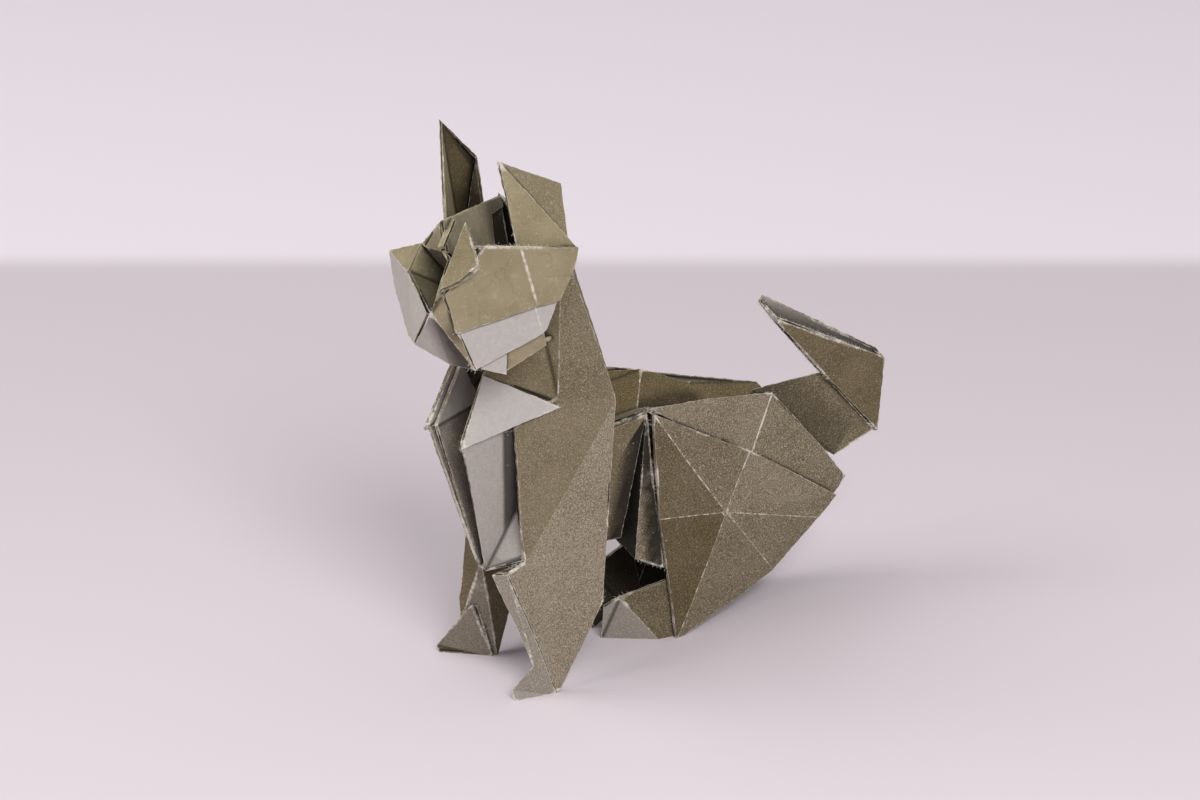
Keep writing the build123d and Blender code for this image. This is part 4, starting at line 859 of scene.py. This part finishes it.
def worn_sheet(paper, place, grain, sheet):
    """The colour rubbed white along ridges and opened creases, and dusted."""
    broken = paper.fade(paper.noise(place, BREAK_SIZE, 3.0, 0.6), 0.46, 0.62)
    stretch = paper.fade(paper.noise(place, STRETCH_SIZE, 1.0), 0.42, 0.62)
    dust = paper.fade(paper.noise(place, DUST_SIZE, 1.0), 0.74, 0.8)
    rub = paper.fade(paper.attribute("rubbed"), 0.0, 0.7)
    ridge = paper.fade(paper.attribute("ridge_mm") - 0.08 * grain, 0.09 + 0.24 * rub, 0.0)
    crease = paper.fade(paper.attribute("crease_mm") - 0.04 * grain, 0.1 + 0.14 * rub, 0.02)
    worn = ridge * ((0.2 + 0.7 * broken) * (0.5 + 0.5 * stretch) + rub * (0.3 + 0.7 * broken))
    pressed = crease * (0.2 + 0.8 * broken + rub * (0.3 + 0.5 * broken))
    white = paper.maths("MINIMUM", paper.maths("MAXIMUM", worn, pressed) + dust * 0.5, 1.0)
    return paper.tinted(sheet, white, RUBBED_WHITE)


def speckled_paper():
    """Olive brown fibrous paper with a pale grey back, whitened where folds are rubbed and darkened with
    painted shade.
    """
    paper = Finish("speckled_paper")
    place = paper.value("ShaderNodeTexCoord", {}, {}, "Object")
    fleck = paper.noise(place, FLECK_SIZE, 2.0, 0.65)
    grain = paper.noise(place, GRAIN_SIZE, 3.0, 0.6)
    ripple = paper.noise(place, RIPPLE_SIZE, 2.0)
    wrinkles = paper.veins(paper.noise(place, WRINKLE_SIZE, 3.0, 0.6), 0.03) * paper.fade(grain, 0.4, 0.65)

    sheet = clean_sheet(paper, place, fleck, grain, wrinkles)
    sheet = shaded_sheet(paper, place, sheet)
    sheet = worn_sheet(paper, place, grain, sheet)

    relief = fleck * 0.5 + grain * 0.5 + ripple * 1.2 + wrinkles * 0.3 * paper.attribute("olive")
    raised = {"Strength": 0.4, "Distance": RELIEF, "Height": relief}
    return paper.surface({
        "Base Color": sheet,
        "Roughness": 0.78 + 0.14 * grain,
        "Specular IOR Level": 0.3,
        "Normal": paper.value("ShaderNodeBump", {}, raised, "Normal"),
    })


def loose_fibre():
    """The white of torn paper."""
    look = {"Base Color": FIBRE_COLOUR, "Roughness": 0.9, "Specular IOR Level": 0.2}
    return Finish("loose_fibre").surface(look)


def fibre_tree(material):
    """Geometry Nodes that set a few bent fibres on each worn point of the paper's edge."""
    group = bpy.data.node_groups.new("loose_fibres", "GeometryNodeTree")
    group.interface.new_socket("Roots", in_out="INPUT", socket_type="NodeSocketGeometry")
    group.interface.new_socket("Fibres", in_out="OUTPUT", socket_type="NodeSocketGeometry")
    for name, size in FIBRE_SIZES.items():
        kind = "NodeSocketInt" if isinstance(size, int) else "NodeSocketFloat"
        group.interface.new_socket(name, in_out="INPUT", socket_type=kind)
    fibres = Tree(group)
    given = fibres.node("NodeGroupInput", {}, {})
    points, length, thickness, spread, number, seed = (
        Value(fibres, given.outputs[name]) for name in ("Roots", *FIBRE_SIZES)
    )

    def any_direction(seed):
        """A random direction for each root."""
        sockets = {0: (-1, -1, -1), 1: (1, 1, 1), "Seed": seed}
        return fibres.value("FunctionNodeRandomValue", {"data_type": "FLOAT_VECTOR"}, sockets, 0)

    # One fibre, about a metre long until it is scaled
    bend = {"Resolution": FIBRE_STEPS, **FIBRE_BEND}
    stem = fibres.value("GeometryNodeCurveQuadraticBezier", {}, bend, "Curve")
    section = {"Resolution": FIBRE_SIDES, "Radius": thickness / length / 2}
    section = fibres.value("GeometryNodeCurvePrimitiveCircle", {}, section, "Curve")
    swept = {"Curve": stem, "Profile Curve": section, "Fill Caps": True}
    fibre = fibres.value("GeometryNodeCurveToMesh", {}, swept, "Mesh")

    # Its roots, a few for each worn point, spread about it
    roots = {"Geometry": points, "Amount": number}
    roots = fibres.value("GeometryNodeDuplicateElements", {"domain": "POINT"}, roots, "Geometry")
    astray = {0: any_direction(seed), "Scale": spread}
    offset = fibres.value("ShaderNodeVectorMath", {"operation": "SCALE"}, astray, 0)
    roots = fibres.value("GeometryNodeSetPosition", {}, {"Geometry": roots, "Offset": offset}, "Geometry")

    # Each stands out from the paper, more or less, and has its own length
    outwards = {"Name": "outwards"}
    outwards = fibres.value("GeometryNodeInputNamedAttribute", {"data_type": "FLOAT_VECTOR"}, outwards, 0)
    leaning = {0: outwards, 1: any_direction(seed + 1)}
    facing = fibres.value("ShaderNodeVectorMath", {"operation": "ADD"}, leaning, 0)
    turn = fibres.value("FunctionNodeAlignRotationToVector", {"axis": "Z"}, {"Vector": facing}, 0)
    share = {2: FIBRE_SHORTEST, 3: 1.0, "Seed": seed + 2}
    share = fibres.value("FunctionNodeRandomValue", {"data_type": "FLOAT"}, share, 1)
    standing = {"Points": roots, "Instance": fibre, "Rotation": turn, "Scale": share * length}
    standing = fibres.value("GeometryNodeInstanceOnPoints", {}, standing, "Instances")
    real = fibres.value("GeometryNodeRealizeInstances", {}, {"Geometry": standing}, "Geometry")
    white = {"Geometry": real, "Material": material}
    white = fibres.value("GeometryNodeSetMaterial", {}, white, "Geometry")
    fibres.node("NodeGroupOutput", {}, {"Fibres": white})
    return group


def loose_fibres(paper):
    """Fibres that stand up from the paper's worn edges, as one piece."""
    ridge, rub = (np.zeros(len(paper.data.vertices), np.float32) for _ in range(2))
    paper.data.attributes["ridge_mm"].data.foreach_get("value", ridge)
    paper.data.attributes["rubbed"].data.foreach_get("value", rub)
    worn = np.flatnonzero((ridge * MM < EDGE_REACH) & (rub > FIBRE_RUB))
    roots = [paper.data.vertices[number] for number in worn]
    roots = [root for root in roots if root.co.z > FIBRE_CLEAR]
    mesh = bpy.data.meshes.new("fibre_roots")
    mesh.from_pydata([root.co for root in roots], [], [])
    outwards = mesh.attributes.new("outwards", "FLOAT_VECTOR", "POINT")
    outwards.data.foreach_set("vector", np.array([root.normal for root in roots], np.float32).ravel())
    fibres = bpy.data.objects.new("loose_fibres", mesh)
    bpy.context.scene.collection.objects.link(fibres)
    group = fibre_tree(loose_fibre())
    grown = fibres.modifiers.new("loose_fibres", "NODES")
    grown.node_group = group
    for socket in group.interface.items_tree:
        if socket.name in FIBRE_SIZES:
            grown[socket.identifier] = FIBRE_SIZES[socket.name]
    evaluated = fibres.evaluated_get(bpy.context.evaluated_depsgraph_get())
    fibres.data = bpy.data.meshes.new_from_object(evaluated)
    fibres.modifiers.clear()
    return fibres


def table_top():
    """A pale table, painted lighter towards the camera as painted light, with the paler colour of a wall
    painted on the floor beyond its end.
    """
    table = Finish("table_top")
    place = table.value("ShaderNodeTexCoord", {}, {}, "Object")
    away = Vector((CAMERA_FACING.x, CAMERA_FACING.y, 0)).normalized()
    depth = table.beyond(place, Vector((CAMERA_PLACE.x, CAMERA_PLACE.y, 0)), away)
    beyond = table.fade(depth, TABLE_END - TABLE_BLUR, TABLE_END + TABLE_BLUR)
    painted_light = table.fade(depth, TABLE_END, TABLE_END - TABLE_FADE)
    colour = table.blend(painted_light, TABLE_FAR, TABLE_NEAR_PAINTED_LIGHT)
    colour = table.blend(beyond, colour, WALL)
    return table.surface({"Base Color": colour, "Roughness": 0.7, "Specular IOR Level": 0.2})


def stage():
    """The table, the light and the camera."""
    bpy.ops.mesh.primitive_plane_add(size=FLOOR_SIZE)
    floor = bpy.context.object
    floor.name = "table"
    floor.data.materials.append(table_top())
    for name, (place, size, power) in LAMPS.items():
        lamp = bpy.data.lights.new(name, "AREA")
        lamp.size = size
        lamp.energy = power
        lit = bpy.data.objects.new(name, lamp)
        lit.location = place
        lit.rotation_euler = (LAMP_AIM - lit.location).to_track_quat("-Z", "Y").to_euler()
        bpy.context.scene.collection.objects.link(lit)
    world = bpy.data.worlds.new("room")
    world.use_nodes = True
    world.node_tree.nodes["Background"].inputs["Color"].default_value = ROOM_COLOUR
    world.node_tree.nodes["Background"].inputs["Strength"].default_value = ROOM_LEVEL
    bpy.context.scene.world = world
    camera = bpy.data.objects.new("camera", bpy.data.cameras.new("camera"))
    camera.data.lens = CAMERA_LENS
    camera.data.sensor_width = SENSOR
    camera.data.clip_start = NEAREST_SEEN
    camera.location = CAMERA_PLACE
    camera.rotation_euler = CAMERA_FACING.to_track_quat("-Z", "Y").to_euler()
    bpy.context.scene.collection.objects.link(camera)
    bpy.context.scene.camera = camera
    bpy.context.scene.view_settings.view_transform = "Standard"


paper = folded_paper(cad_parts["origami_dog"])
paper.data.materials.append(speckled_paper())
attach(paper, "root")
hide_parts("origami_dog")
fibres = loose_fibres(paper)
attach(fibres, "root")
stage()
